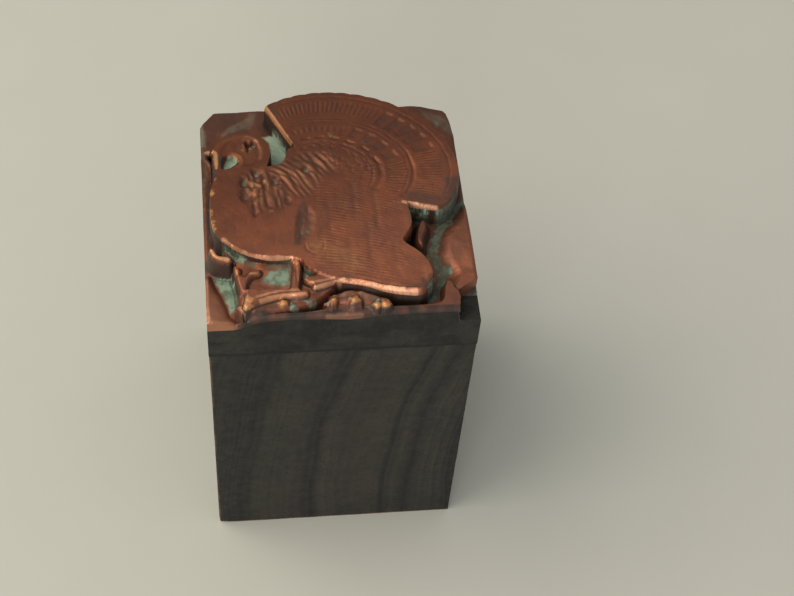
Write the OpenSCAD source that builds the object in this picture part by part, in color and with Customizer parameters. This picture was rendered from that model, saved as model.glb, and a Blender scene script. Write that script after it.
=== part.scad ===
// Letterpress printing block: a copper electrotype of a strutting turkey on a wooden mount.
// Origin: middle of the wooden base. +Z is up to the printing face and -Y is the front.

/* [Block] */
// Width of the block, left to right
block_w = 14.8; // [13:0.1:20]
// Depth of the block, front to back
block_d = 15.5; // [14:0.1:20]
// Height from the foot to the printing face
type_height = 23.32; // [22.5:0.01:25.5]
// Chamfer on the four standing edges of the wood
wood_chamfer = 0.15; // [0.05:0.05:0.4]

/* [Electrotype] */
// Height of the electrotype, from the wood to the printing face
electro_h = 4.2; // [3.8:0.05:5]
// Depth of the blank floor below the printing face
relief_h = 1.5; // [1.2:0.05:1.8]
// Thickness of the deposited copper
shell_t = 0.35; // [0.25:0.05:0.45]
// Thickness of the tin that bonds the copper to the backing
film_t = 0.06; // [0.04:0.01:0.1]
// How far the relief spreads from its face to its foot
shoulder = 0.25; // [0.1:0.05:0.35]
// Width of the cut taken off the back left corner of the plate
back_left_w = 0.9; // [0.3:0.1:1.4]
// Depth of the same cut
back_left_d = 1.2; // [0.3:0.1:1.6]
// Width of the worn and rounded back right corner of the plate
back_right_w = 1.6; // [0.4:0.1:2]
// Depth of the same rounding
back_right_d = 2.4; // [0.4:0.1:3]
// Width of bare backing metal where the copper is torn away at the front right
torn_w = 1.15; // [0.6:0.05:1.2]
// Depth of the same bare corner
torn_d = 1.6; // [0.5:0.05:2]
// Bevel filed along the right side of the bare corner
torn_bevel = 0.15; // [0.05:0.05:0.4]
// Lip of copper that hangs over the left side near the front
lip = 0.1; // [0.05:0.05:0.2]
// Length of that lip
lip_l = 3.2; // [1:0.2:5]
// Rise of the copper banks along the margins
bank_h = 0.25; // [0.1:0.05:0.5]
// Width of the bank along the right side
right_bank_w = 1.7; // [0.8:0.1:2]
// Width of the bank at the front left corner
left_bank_w = 1.1; // [0.6:0.1:1.2]

/* [Picture] */
// Blank left between the picture and the sides of the block
side_margin = 0.35; // [0.3:0.05:1]
// Blank left between the picture and the back of the block
back_margin = 0.15; // [0.1:0.05:1]
// Depth of the engraved lines
line_depth = 0.2; // [0.1:0.02:0.3]
// Depth of the enclosed hollows of the picture
hollow_depth = 0.8; // [0.5:0.05:1]
// Number of barbs across the fan
barbs = 34; // [20:1:40]
// Share of a barb's pitch that is cut away beside it
barb_gap = 0.5; // [0.35:0.05:0.6]
// Number of scallops along the edge of the fan
scallops = 17; // [10:1:22]
// Rise of one scallop
scallop_h = 0.1; // [0.04:0.02:0.14]
// Pitch of the lines on the wing
wing_pitch = 0.42; // [0.36:0.02:0.7]
// Width of an engraved line on the wing and breast
line_w = 0.16; // [0.1:0.02:0.2]

/* [Brads] */
// Diameter of a brad's shank
brad_d = 0.7; // [0.5:0.05:0.9]
// Diameter of a brad's head
brad_head_d = 0.95; // [0.8:0.05:1.1]
// Length of a brad
brad_l = 9.5; // [7:0.5:14]
// Depth of the head below the copper floor
brad_sunk = 0.1; // [0.05:0.01:0.15]
// Length of a brad's point
brad_point = 1; // [0.6:0.1:1.6]
// Clearance round a brad
brad_fit = 0.02; // [0.01:0.01:0.04]

/* [Hidden] */
$fn = 48;

wood_h = type_height - electro_h;
floor_z = type_height - relief_h;
under_z = floor_z - shell_t;
backing_z = under_z - film_t;
line_z = type_height - line_depth;
hollow_z = type_height - hollow_depth;

// The picture was drawn on a sheet of this size, with the middle of the sheet at 0, 0
drawn_w = 14.1;
drawn_back = 7.6;
sheet_fit = [
    (block_w - 2 * side_margin) / drawn_w,
    (block_d / 2 - back_margin) / drawn_back
];
function art(p) = [p[0] * sheet_fit[0], p[1] * sheet_fit[1]];
function art_all(points) = [for (p = points) art(p)];

// Smooth curves through a few hand-set points
function spline_at(a, b, c, d, t) =
    0.5 * (2 * b + (c - a) * t + (2 * a - 5 * b + 4 * c - d) * t * t
        + (3 * b - a - 3 * c + d) * t * t * t);
function closed_curve(p, steps) = [
    for (i = [0 : len(p) - 1], k = [0 : steps - 1])
        spline_at(
            p[(i + len(p) - 1) % len(p)], p[i],
            p[(i + 1) % len(p)], p[(i + 2) % len(p)], k / steps
        )
];
function open_curve(p, steps) = [
    for (i = [0 : len(p) - 2], k = [0 : i == len(p) - 2 ? steps : steps - 1])
        spline_at(
            p[max(i - 1, 0)], p[i], p[i + 1], p[min(i + 2, len(p) - 1)], k / steps
        )
];

// A closed outline moved outwards from its middle by grow
function swell(points, middle, grow) = [
    for (p = points) middle + (p - middle) * (1 + grow / norm(p - middle))
];

// Band of a given width along an open curve, with square ends
function side_step(p, i) =
    let (
        a = p[max(i - 1, 0)],
        b = p[min(i + 1, len(p) - 1)],
        along = (b - a) / norm(b - a)
    ) [-along[1], along[0]];
function band(p, w) = concat(
    [for (i = [0 : len(p) - 1]) p[i] - side_step(p, i) * w / 2],
    [for (i = [len(p) - 1 : -1 : 0]) p[i] + side_step(p, i) * w / 2]
);

// Fan: barbs run out from the root to an ellipse
fan_root = [-1, 1.3];
fan_middle = [0.8, 2.4];
fan_long = 6.45;
fan_short = 5.05;
fan_tilt = -20;
fan_from = -20;
fan_to = 116;
fan_centre = [1, 3.4];
function turned(p, a) = [
    p[0] * cos(a) - p[1] * sin(a),
    p[0] * sin(a) + p[1] * cos(a)
];
function reach(a) =
    let (
        s = turned(fan_root - fan_middle, -fan_tilt),
        u = turned([cos(a), sin(a)], -fan_tilt),
        qa = pow(u[0] / fan_long, 2) + pow(u[1] / fan_short, 2),
        qb = s[0] * u[0] / pow(fan_long, 2) + s[1] * u[1] / pow(fan_short, 2),
        qc = pow(s[0] / fan_long, 2) + pow(s[1] / fan_short, 2) - 1
    ) (-qb + sqrt(qb * qb - qa * qc)) / qa;
function fan_point(a, share) = art(fan_root + share * reach(a) * [cos(a), sin(a)]);
function scallop_point(a) =
    let (dip = scallop_h * (1 - abs(sin(180 * scallops * (a - fan_from) / (fan_to - fan_from)))))
    art(fan_root + (reach(a) - dip) * [cos(a), sin(a)]);
fan_steps = 6 * scallops;
fan_edge = concat(
    [art(fan_root)],
    [for (k = [0 : fan_steps]) scallop_point(fan_from + k * (fan_to - fan_from) / fan_steps)]
);
// Shares of the reach where each row of barbs starts and ends
barb_rows = [[0.5, 0.61], [0.73, 0.88]];
// Shares of the reach where the lines between the rows run
fan_lines = [0.3, 0.36, 0.42, 0.46, 0.655, 0.69, 0.925];

// Body with breast, wing and tail coverts
body_middle = [-1, -1.9];
body_edge = art_all(closed_curve([
    [3.9, -0.8], [3.5, 0.8], [1.5, 2.8], [-1, 3.4], [-2.4, 3.4], [-2.7, 2.5],
    [-3.7, 2.1], [-5, 2.2], [-6.2, 1.9], [-6.8, 1], [-6.95, -0.4], [-6.9, -1.8],
    [-6.5, -2.8], [-5.4, -3.75], [-4.2, -4.2], [-3, -4.3], [-2.2, -4.5], [-1.5, -5.2],
    [-0.6, -5.8], [0.5, -6], [1.8, -6.35], [3, -6.65], [4.1, -6.7], [4.8, -6.1],
    [4.7, -5.1], [4.2, -4.3], [3.65, -3.6], [3.75, -3], [4.05, -2.2]
], 3));

// Head, bent back on the neck, with the snood hooked in front
head_middle = [-5.1, 2.9];
head_edge = art_all(closed_curve([
    [-4, 1.6], [-3.6, 2.5], [-3.5, 3.4], [-3.9, 4.2], [-4.6, 4.6], [-5.4, 4.6],
    [-6.1, 4.3], [-6.6, 3.7], [-6.75, 3], [-6.65, 2], [-6.1, 1.3], [-5, 1.2]
], 4));
snood = [[-7.05, 3.35], [-6.7, 3.35], [-6.6, 2.7], [-6.6, 1.9]];
throat_hollow = [[-6.2, 2], [-6.15, 2.7], [-5.7, 3], [-5.3, 2.6], [-5.7, 2.2]];
eye_hollow = [[-4.8, 3.4], [-4.9, 3.8], [-4.5, 4], [-4.25, 3.7], [-4.5, 3.35]];
crown_hollow = [[-6.1, 3.5], [-5.8, 3.95], [-5.3, 4.15], [-5.2, 3.85], [-5.6, 3.4]];
wattle_hollows = [[-5.05, 1, 0.2], [-4.35, 1.65, 0.22], [-3.3, 1.1, 0.24], [-1.55, 1.85, 0.2]];
wing_hollow = [[-1.9, -1], [-2.05, -2], [-2.3, -3.2], [-1.9, -3.3], [-1.6, -2.4], [-1.65, -1.4]];
belly_hollow = [[-5.1, 0.5], [-5.3, -0.3], [-4.9, -0.5], [-4.7, 0.2]];

// Small standing forms: each is a run of points with a width
strokes = [
    [0.38, [[-6.95, -3.5], [-6.85, -4.05], [-6.4, -4.25], [-5.85, -4.4]]],
    [0.45, [[-5.85, -4.9], [-5.45, -5.6], [-5.3, -6.6], [-5.45, -7.35]]],
    [0.34, [[-5.3, -5.6], [-4.7, -5.15], [-4.1, -4.85], [-3.9, -4.2]]],
    [0.55, [[-2.45, -4.3], [-2.45, -5.4], [-2.5, -6.4], [-2.75, -7]]],
    [0.5, [[-5.2, -6.7], [-4.2, -6.65], [-3.2, -6.45], [-2.4, -6.4]]],
    [0.3, [[-5.4, -7.3], [-4.5, -7.15], [-3.6, -7.05], [-3, -6.95]]],
    [0.4, [[-2.4, -6.6], [-1.6, -6.2], [-0.8, -6.05], [0, -5.85]]]
];
tuft = [[4.6, -2.3], [4.75, -2.8], [4.6, -3.4], [4.4, -3.8]];
tuft_w = 0.45;
snood_w = 0.3;
corner_r = 0.05;
clumps = [[-3.2, -7.1, 0.2], [-0.6, -7.05, 0.2], [0.5, -7.1, 0.22], [1.6, -7.2, 0.24], [2.05, -7.1, 0.22]];

// Low ground under the bird, which runs out to the front side and is sawn off there
ground = [
    [-5.4, -8.3], [-2, -8.3], [2, -8.3], [6.1, -8.3], [6.1, -6.3], [5.8, -5.7],
    [5.5, -6.1], [5.35, -6.9], [4.8, -7.25], [3.4, -7.35], [2.6, -7.1], [1.6, -6.75],
    [0.4, -6.5], [-0.6, -6.7], [-1.6, -6.9], [-3, -7], [-5.2, -7.1]
];
ground_drop = 0.75;
mound = [[-1.2, -7.1], [-0.5, -6.75], [0.4, -6.6], [1.4, -6.85], [2.3, -7.2]];
mound_w = 0.3;
mound_drop = 0.4;

// Places on the sides where the two copper banks begin
right_bank_end = [7.4, 1.5];
left_bank_end = [-7.4, -5.2];

// Brads stand in the blank parts of the floor
neck_brad = art([-3.3, 4.4]);
front_left_brad = art([-6.35, -5.8]);
right_brad = art([5.7, -3.2]);
brads_at = [neck_brad, front_left_brad, right_brad];

// Outline of the plate, seen from above
module plate_outline() {
    half_w = block_w / 2;
    half_d = block_d / 2;
    polygon(concat(
        [[-half_w, -half_d], [half_w, -half_d]],
        [for (a = [0 : 15 : 90]) [
            half_w - back_right_w * (1 - cos(a)),
            half_d - back_right_d * (1 - sin(a))
        ]],
        [[-half_w + back_left_w, half_d], [-half_w, half_d - back_left_d]]
    ));
}

// Solid whose wall leans from one outline to another, both seen from the same middle
module lofted(edge, middle, foot_grow, foot_z, face_grow, face_z) {
    n = len(edge);
    foot = swell(edge, middle, foot_grow);
    face = swell(edge, middle, face_grow);
    points = concat(
        [for (p = foot) [p[0], p[1], foot_z]],
        [for (p = face) [p[0], p[1], face_z]],
        [[middle[0], middle[1], foot_z], [middle[0], middle[1], face_z]]
    );
    polyhedron(points, concat(
        [for (i = [0 : n - 1]) [i, (i + 1) % n, 2 * n]],
        [for (i = [0 : n - 1]) [n + (i + 1) % n, n + i, 2 * n + 1]],
        [for (i = [0 : n - 1]) [(i + 1) % n, i, n + i]],
        [for (i = [0 : n - 1]) [(i + 1) % n, n + i, n + (i + 1) % n]]
    ));
}

// Fan and body, from a foot to a top, drawn in by inset all round
module fan_and_body(foot_z, top_z, inset) {
    lofted(fan_edge, art(fan_centre), shoulder - inset, foot_z, -inset, top_z);
    lofted(body_edge, art(body_middle), shoulder - inset, foot_z, -inset, top_z);
}

module head(foot_z, top_z) {
    lofted(head_edge, art(head_middle), shoulder, foot_z, 0, top_z);
}

module ground_form(foot_z, inset) {
    translate([0, 0, foot_z])
        linear_extrude(type_height - ground_drop - inset - foot_z)
        intersection() {
            plate_outline();
            offset(delta = -inset) polygon(art_all(closed_curve(ground, 3)));
        }
}

// What fills the back of the large forms, clear of the face and the hollows by inset
module filling(foot_z, inset) {
    difference() {
        fan_and_body(foot_z, line_z - inset, inset);
        body_hollows(inset);
    }
    ground_form(foot_z, inset);
}

module stroke(points, w) {
    path = art_all(open_curve(points, 4));
    polygon(band(path, w));
    translate(path[0]) circle(d = w, $fn = 16);
    translate(path[len(path) - 1]) circle(d = w, $fn = 16);
}

module leg_and_ground_lines() {
    for (s = strokes) stroke(s[1], s[0]);
    stroke(snood, snood_w);
}

// Small standing forms, from inside the floor to a top, with their outline grown by spread
module standing(top_z, spread) {
    root_z = floor_z - shell_t / 2;
    translate([0, 0, root_z])
        linear_extrude(top_z - root_z)
        offset(r = spread, $fn = 16)
        offset(delta = -corner_r)
        children();
}

module small_forms() {
    standing(type_height, corner_r) leg_and_ground_lines();
    standing(hollow_z, shoulder) leg_and_ground_lines();
    standing(type_height - mound_drop, corner_r) {
        stroke(tuft, tuft_w);
        stroke(mound, mound_w);
    }
    standing(type_height - mound_drop / 2, corner_r)
        for (c = clumps) translate(art([c[0], c[1]])) circle(r = c[2], $fn = 16);
}

// Copper banks that rise to the right side and to the front left corner
module banks() {
    translate([block_w / 2, art(right_bank_end)[1], floor_z])
        rotate([90, 0, 0])
        linear_extrude(art(right_bank_end)[1] + block_d / 2 - torn_d)
        polygon([[0, -shell_t / 2], [0, bank_h], [-right_bank_w, -shell_t / 2]]);
    translate([-block_w / 2, art(left_bank_end)[1], floor_z])
        rotate([90, 0, 0])
        linear_extrude(art(left_bank_end)[1] + block_d / 2)
        polygon([[0, -shell_t / 2], [left_bank_w, -shell_t / 2], [0, bank_h]]);
}

// Enclosed hollows of the picture, with their walls and floors moved outwards by grow
module hollow(points, grow) {
    translate([0, 0, hollow_z - grow])
        linear_extrude(hollow_depth + grow + 1)
        offset(r = grow, $fn = 24)
        polygon(art_all(closed_curve(points, 4)));
}

module body_hollows(grow) {
    hollow(wing_hollow, grow);
    hollow(belly_hollow, grow);
    for (w = wattle_hollows)
        translate([art(w)[0], art(w)[1], hollow_z - grow])
            cylinder(h = hollow_depth + grow + 1, r = w[2] + grow);
}

module head_hollows() {
    hollow(throat_hollow, 0);
    hollow(eye_hollow, 0);
    hollow(crown_hollow, 0);
}

// One cell between two barbs of the fan, with its far end bowed by a share of the reach
cell_bow = 0.004;
function cell(a, da, from, to) = [
    fan_point(a - da, from), fan_point(a + da, from),
    fan_point(a + da, to), fan_point(a, to + cell_bow), fan_point(a - da, to)
];

// Degrees left blank at both ends of a line that runs round the fan
line_margin = 2;
line_steps = 32;

module fan_lines_cut() {
    pitch = (fan_to - fan_from) / barbs;
    for (row = barb_rows, k = [0 : barbs - 1])
        polygon(cell(fan_from + (k + 0.5) * pitch, barb_gap * pitch / 2, row[0], row[1]));
    for (share = fan_lines) {
        half = line_w / 2 / reach((fan_from + fan_to) / 2);
        step = (fan_to - fan_from - 2 * line_margin) / line_steps;
        angles = [for (k = [0 : line_steps]) fan_from + line_margin + k * step];
        polygon(concat(
            [for (k = [0 : line_steps]) fan_point(angles[k], share + half)],
            [for (k = [line_steps : -1 : 0]) fan_point(angles[k], share - half)]
        ));
    }
}

// Lines on the wing: each starts a little further right and slopes down towards the tip
wing_left = -1.1;
wing_right = 3.5;
wing_lean = 0.1;
wing_bow = 0.02;
wing_fall = [0.44, 0.79];
wing_span = 5.2;
wing_rows = floor(wing_span * sheet_fit[1] / wing_pitch);
module wing_lines_cut() {
    for (k = [0 : wing_rows - 1]) {
        y = -k * wing_pitch / sheet_fit[1];
        polygon(band(art_all(open_curve([
            [wing_left + wing_lean * k, y],
            [(wing_left + wing_right) / 2, y - wing_fall[0]],
            [wing_right - wing_bow * pow(k - wing_rows / 2, 2), y - wing_fall[1]]
        ], 4)), line_w));
    }
}

// Lines that follow the round of the breast
breast_middle = [-4, -1.1];
breast_pitch = 0.55;
breast_turns = 5;
module breast_lines_cut() {
    for (k = [1 : breast_turns])
        polygon(band([
            for (a = [190 : 10 : 290])
                art(breast_middle + breast_pitch * k * [cos(a), sin(a)])
        ], line_w));
}

// Long strokes of the neck and back feathers: the first one, and the step to the next
neck_stroke = [[-3.1, 1.9], [-2.5, 1.4], [-2.2, 0.6]];
neck_step = [0.6, 0.2];
neck_strokes = 4;
module neck_lines_cut() {
    for (k = [0 : neck_strokes - 1])
        polygon(band(art_all(open_curve([for (p = neck_stroke) p + k * neck_step], 5)), line_w));
}

// Everything that is cut into the printing face only
module engraving() {
    translate([0, 0, line_z]) linear_extrude(line_depth + 1) {
        fan_lines_cut();
        wing_lines_cut();
        breast_lines_cut();
        neck_lines_cut();
    }
}

module brad_bores(d, from_z, to_z) {
    for (p = brads_at)
        translate([p[0], p[1], from_z]) cylinder(h = to_z - from_z, d = d);
}

head_top = floor_z - brad_sunk;
brad_tip = head_top - brad_l;
module brad(p) {
    color("dimgray") translate([p[0], p[1], 0]) {
        translate([0, 0, backing_z]) cylinder(h = head_top - backing_z, d = brad_head_d);
        translate([0, 0, brad_tip + brad_point])
            cylinder(h = backing_z - brad_tip - brad_point, d = brad_d);
        translate([0, 0, brad_tip]) cylinder(h = brad_point, d1 = 0.1, d2 = brad_d);
    }
}

module wood_mount() {
    half_w = block_w / 2;
    half_d = block_d / 2;
    c = wood_chamfer;
    color("saddlebrown") difference() {
        linear_extrude(wood_h) polygon([
            [c - half_w, -half_d], [half_w - c, -half_d], [half_w, c - half_d],
            [half_w, half_d - c], [half_w - c, half_d], [c - half_w, half_d],
            [-half_w, half_d - c], [-half_w, c - half_d]
        ]);
        brad_bores(brad_d + 2 * brad_fit, brad_tip - brad_fit, wood_h + 1);
    }
}

// Bare corner at the front right, where the copper is torn away and the metal is filed down
module torn_corner(from_z) {
    translate([block_w / 2 - torn_w, -block_d / 2 - 1, from_z])
        cube([torn_w + 1, torn_d + 1, type_height]);
}

module backing_metal() {
    color("slategray") difference() {
        union() {
            translate([0, 0, wood_h]) linear_extrude(backing_z - wood_h) plate_outline();
            filling(backing_z, shell_t + film_t);
        }
        translate([block_w / 2, torn_d - block_d / 2, backing_z])
            rotate([90, 0, 0])
            linear_extrude(torn_d + 1)
            polygon([[1, 1], [-torn_bevel - 1, 1], [1, -torn_bevel - 1]]);
        brad_bores(brad_d + 2 * brad_fit, wood_h - 1, backing_z + 1);
    }
}

module tin_film() {
    color("lightgray") difference() {
        union() {
            translate([0, 0, backing_z]) linear_extrude(film_t) plate_outline();
            filling(under_z, shell_t);
        }
        filling(backing_z, shell_t + film_t);
        torn_corner(wood_h);
        brad_bores(brad_head_d + 2 * brad_fit, wood_h, type_height + 1);
    }
}

// Copper before its back is hollowed, sawn off flush with the plate
module copper_blank() {
    intersection() {
        union() {
            translate([0, 0, under_z]) linear_extrude(shell_t) plate_outline();
            fan_and_body(floor_z - shell_t / 2, type_height, 0);
            head(floor_z - shell_t / 2, type_height);
            ground_form(floor_z - shell_t / 2, 0);
            small_forms();
            banks();
        }
        translate([0, 0, under_z - 1]) linear_extrude(type_height) plate_outline();
    }
    translate([-block_w / 2 - lip, -block_d / 2, under_z]) cube([lip + 1, lip_l, shell_t]);
}

module copper_shell() {
    color("chocolate") difference() {
        copper_blank();
        filling(under_z, shell_t);
        body_hollows(0);
        head_hollows();
        engraving();
        torn_corner(wood_h);
        brad_bores(brad_head_d + 2 * brad_fit, wood_h, floor_z + relief_h / 2);
    }
}

wood_mount();
backing_metal();
tin_film();
copper_shell();
brad(neck_brad);  // brad_neck
brad(front_left_brad);  // brad_front_left
brad(right_brad);  // brad_right
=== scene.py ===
"""Printing block: a copper electrotype in relief, backed with type metal and nailed to a wooden mount.

Lengths are written in millimetres, as on the bench, and turned to metres where a mesh or a light is made.
"""

import logging
import math
from dataclasses import dataclass, field
from enum import Enum
from typing import Any, Sequence

import bpy
import numpy as np
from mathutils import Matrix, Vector


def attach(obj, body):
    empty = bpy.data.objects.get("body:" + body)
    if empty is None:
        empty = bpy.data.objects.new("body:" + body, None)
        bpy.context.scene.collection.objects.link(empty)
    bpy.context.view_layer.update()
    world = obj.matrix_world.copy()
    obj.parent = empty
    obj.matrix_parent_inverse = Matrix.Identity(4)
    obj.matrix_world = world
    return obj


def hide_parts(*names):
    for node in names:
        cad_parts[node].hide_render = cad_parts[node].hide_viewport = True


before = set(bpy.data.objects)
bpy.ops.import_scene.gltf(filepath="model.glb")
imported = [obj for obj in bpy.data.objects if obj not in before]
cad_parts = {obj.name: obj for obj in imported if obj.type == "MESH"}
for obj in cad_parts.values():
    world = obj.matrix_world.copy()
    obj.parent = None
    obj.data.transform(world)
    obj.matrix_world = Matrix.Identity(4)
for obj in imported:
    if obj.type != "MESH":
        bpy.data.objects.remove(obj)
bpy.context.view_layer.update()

LOG = logging.getLogger("printing_block")

MM = 0.001
FACE_Z = 23.32  # printing face, the standard height to paper
BLANK_Z = 21.82  # deepest blank floor of the copper
UNDER_Z = 21.47  # underside of the copper, on the tin film
BACKING_Z = 21.41  # top of the backing metal
WOOD_Z = 19.12  # top of the wooden mount
HALF_W = 7.4  # half the block's width
HALF_D = 7.75  # half its depth
SIDE_LEAN = 0.05  # how far the upper part of a form's steep walls leans out
FOOT_LEAN = 0.055  # and how far the lower part does
FOOT_SHADE_REACH = 0.07  # how far the painted shade at a wall's foot runs out over the floor
BEVEL_FALL = 0.28  # how far the upper part of a wall falls
BEVEL_SHOWN = (  # share of that fall that stays free of painted shade and can show rubbed metal, by x
    (-6.6, -5.5, -4.6, -3.8, -3.2, -2.75, -2.2, 0.0, 1.5, 2.4, 3.8, 4.5, 5.5),
    (0.3, 0.5, 0.7, 0.92, 0.88, 0.5, 0.8, 0.85, 0.95, 1.4, 1.6, 1.2, 1.0))
FRONT_FACING = (0.3, 0.75)  # how squarely an edge faces the front where a front bevel starts, and where it is full
LEAN_CHANGE = (-2.0, -0.5)  # x where a front bevel's lean starts to change, and where it has changed
UNSHADED_SIDE = 0.22  # how far below its top a soft form's side stays free of painted shade
BAR_CREST = 0.1  # width of a bar's worn edge
BAR_DROP = 0.05  # and how much it falls
STROKE_LEFT = 0.6  # share of a ridge's height or a groove's depth that wear has left
GROOVE_INK_AND_SHADE = 5.5  # how much old ink and painted shade a groove gets, by its depth
RIDGE_GOLD_AND_SHEEN = 2.2  # and how much rubbed gold and painted sheen a ridge gets, by its height
EYE = (-6.231, -57.306, 92.461)  # the camera's place

Array = np.ndarray
Points = Sequence[Sequence[float]]
Socket = bpy.types.NodeSocket
Value = Socket | float  # a socket or a number
Colour = Socket | str  # a socket or an sRGB hex code


class Stain(Enum):
    """What lies on the copper or is engraved in it, one mesh attribute each.

    The ink stain also holds painted shade in hollows, grooves and down walls; the gold and the rubbed stain hold
    rubbed metal and also painted highlights and glints. PHASE counts fine lines across a form, and LINES says how
    strongly they show. LEVEL is the height above the foot of the nearest bevel, in mm: below 0 on the walls that are
    darkened with painted shade.
    """

    VERDIGRIS = "verdigris"
    GRIME = "grime"
    RUBBED = "rubbed"
    EARTH = "earth"
    GOLD = "gold"
    LEVEL = "wall_level"
    PHASE = "line_phase"
    LINES = "line_strength"


# ---------------------------------------------------------------- curves and ramps


def smooth_curve(points: Points, closed: bool = False, steps: int = 6) -> Array:
    """Runs a smooth curve through points.

    Args:
        points: places in plan, in mm.
        closed: whether the last point joins the first.
        steps: pieces between two points.

    Returns:
        The curve's points, one row each.
    """
    p = np.asarray(points, float)
    n = len(p)
    t = np.arange(steps)[:, None] / steps
    runs = []
    for i in range(n if closed else n - 1):
        if closed:
            a, b, c, d = p[i - 1], p[i], p[(i + 1) % n], p[(i + 2) % n]
        else:
            a, b, c, d = p[max(i - 1, 0)], p[i], p[i + 1], p[min(i + 2, n - 1)]
        runs.append(0.5 * (2 * b + (c - a) * t + (2 * a - 5 * b + 4 * c - d) * t**2
                           + (3 * b - a - 3 * c + d) * t**3))
    if not closed:
        runs.append(p[-1:])
    return np.concatenate(runs)


def seen_at(points: Points, depth: float) -> Array:
    """Moves places read on the face plane to where the eye meets a lower surface.

    Args:
        points: places as they appear on the face plane, in mm.
        depth: how far the surface lies below the face, in mm.

    Returns:
        The places on that surface.
    """
    k = depth / (EYE[2] - FACE_Z + depth)
    return (np.asarray(points, float) - k * np.array(EYE[:2])) / (1 - k)


def ramp(value: Array, low: float, high: float) -> Array:
    """Goes softly from 0 at low to 1 at high."""
    t = np.clip((value - low) / (high - low), 0, 1)
    return t * t * (3 - 2 * t)


def between(value: Array, low: float, high: float, soft: float) -> Array:
    """Gives 1 between low and high and 0 outside them, easing in and out over soft."""
    return ramp(value, low, low + soft) * (1 - ramp(value, high - soft, high))


def value_noise(x: Array, y: Array, pitch: float, seed: int) -> Array:
    """Makes smooth noise from -1 to 1.

    Args:
        x: places across, in mm.
        y: places in depth, in mm.
        pitch: size of the noise's lumps, in mm.
        seed: which noise.

    Returns:
        The noise at each place.
    """
    table = np.random.default_rng(seed).uniform(-1, 1, (64, 64))
    u, v = x / pitch + 31.7, y / pitch + 17.3
    i, j = np.floor(u).astype(int), np.floor(v).astype(int)
    fu, fv = ramp(u - i, 0, 1), ramp(v - j, 0, 1)
    rows = [table[i % 64, (j + k) % 64] * (1 - fu) + table[(i + 1) % 64, (j + k) % 64] * fu for k in (0, 1)]
    return rows[0] * (1 - fv) + rows[1] * fv


def blurred(height: Array, radius: int) -> Array:
    """Smooths a grid of heights over a radius of grid steps.

    Args:
        height: the grid.
        radius: how far it is smoothed, in grid steps.

    Returns:
        The smoothed grid.
    """
    steps = np.arange(-2 * radius, 2 * radius + 1)
    kernel = np.exp(-((steps / radius) ** 2))
    kernel /= kernel.sum()
    padded = np.pad(height, 2 * radius, mode="edge")
    rows = np.apply_along_axis(np.convolve, 1, padded, kernel, "valid")
    return np.apply_along_axis(np.convolve, 0, rows, kernel, "valid")


def measured(outline: Array, x: Array, y: Array) -> tuple[Array, Array, Array, Array]:
    """Measures places against a closed outline.

    Args:
        outline: its points.
        x: the places' x, in mm.
        y: the places' y.

    Returns:
        The distance to the outline, above 0 inside it; how squarely its nearest edge faces the front, from -1 to 1;
        and the x and y of the nearest point on it.
    """
    inside = np.zeros(x.shape, bool)
    best, to_x, to_y = np.full(x.shape, 1e9), x.copy(), y.copy()
    for a, b in zip(outline, np.roll(outline, -1, axis=0)):
        side = b - a
        crosses = (a[1] > y) != (b[1] > y)
        inside ^= crosses & (x < a[0] + (y - a[1]) / (side[1] or 1e-9) * side[0])
        t = np.clip(((x - a[0]) * side[0] + (y - a[1]) * side[1]) / max(side @ side, 1e-12), 0, 1)
        px, py = a[0] + t * side[0], a[1] + t * side[1]
        far = np.hypot(x - px, y - py)
        closer = far < best
        best, to_x, to_y = np.where(closer, far, best), np.where(closer, px, to_x), np.where(closer, py, to_y)
    sign = np.where(inside, 1.0, -1.0)
    return sign * best, sign * (y - to_y) / np.maximum(best, 1e-6), to_x, to_y


def bevel_lean(facing: Array, x: Array, front: tuple[float, float]) -> Array:
    """Gives how far a form's bevel leans out.

    Args:
        facing: how squarely its edge faces the front.
        x: the places' x, in mm.
        front: the lean of front edges at the left and at the right of the block; other edges hardly lean.

    Returns:
        The lean in mm.
    """
    lean = front[0] + (front[1] - front[0]) * ramp(x, *LEAN_CHANGE)
    return SIDE_LEAN + (lean - SIDE_LEAN) * ramp(facing, *FRONT_FACING)


# ---------------------------------------------------------------- the relief's tools


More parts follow.
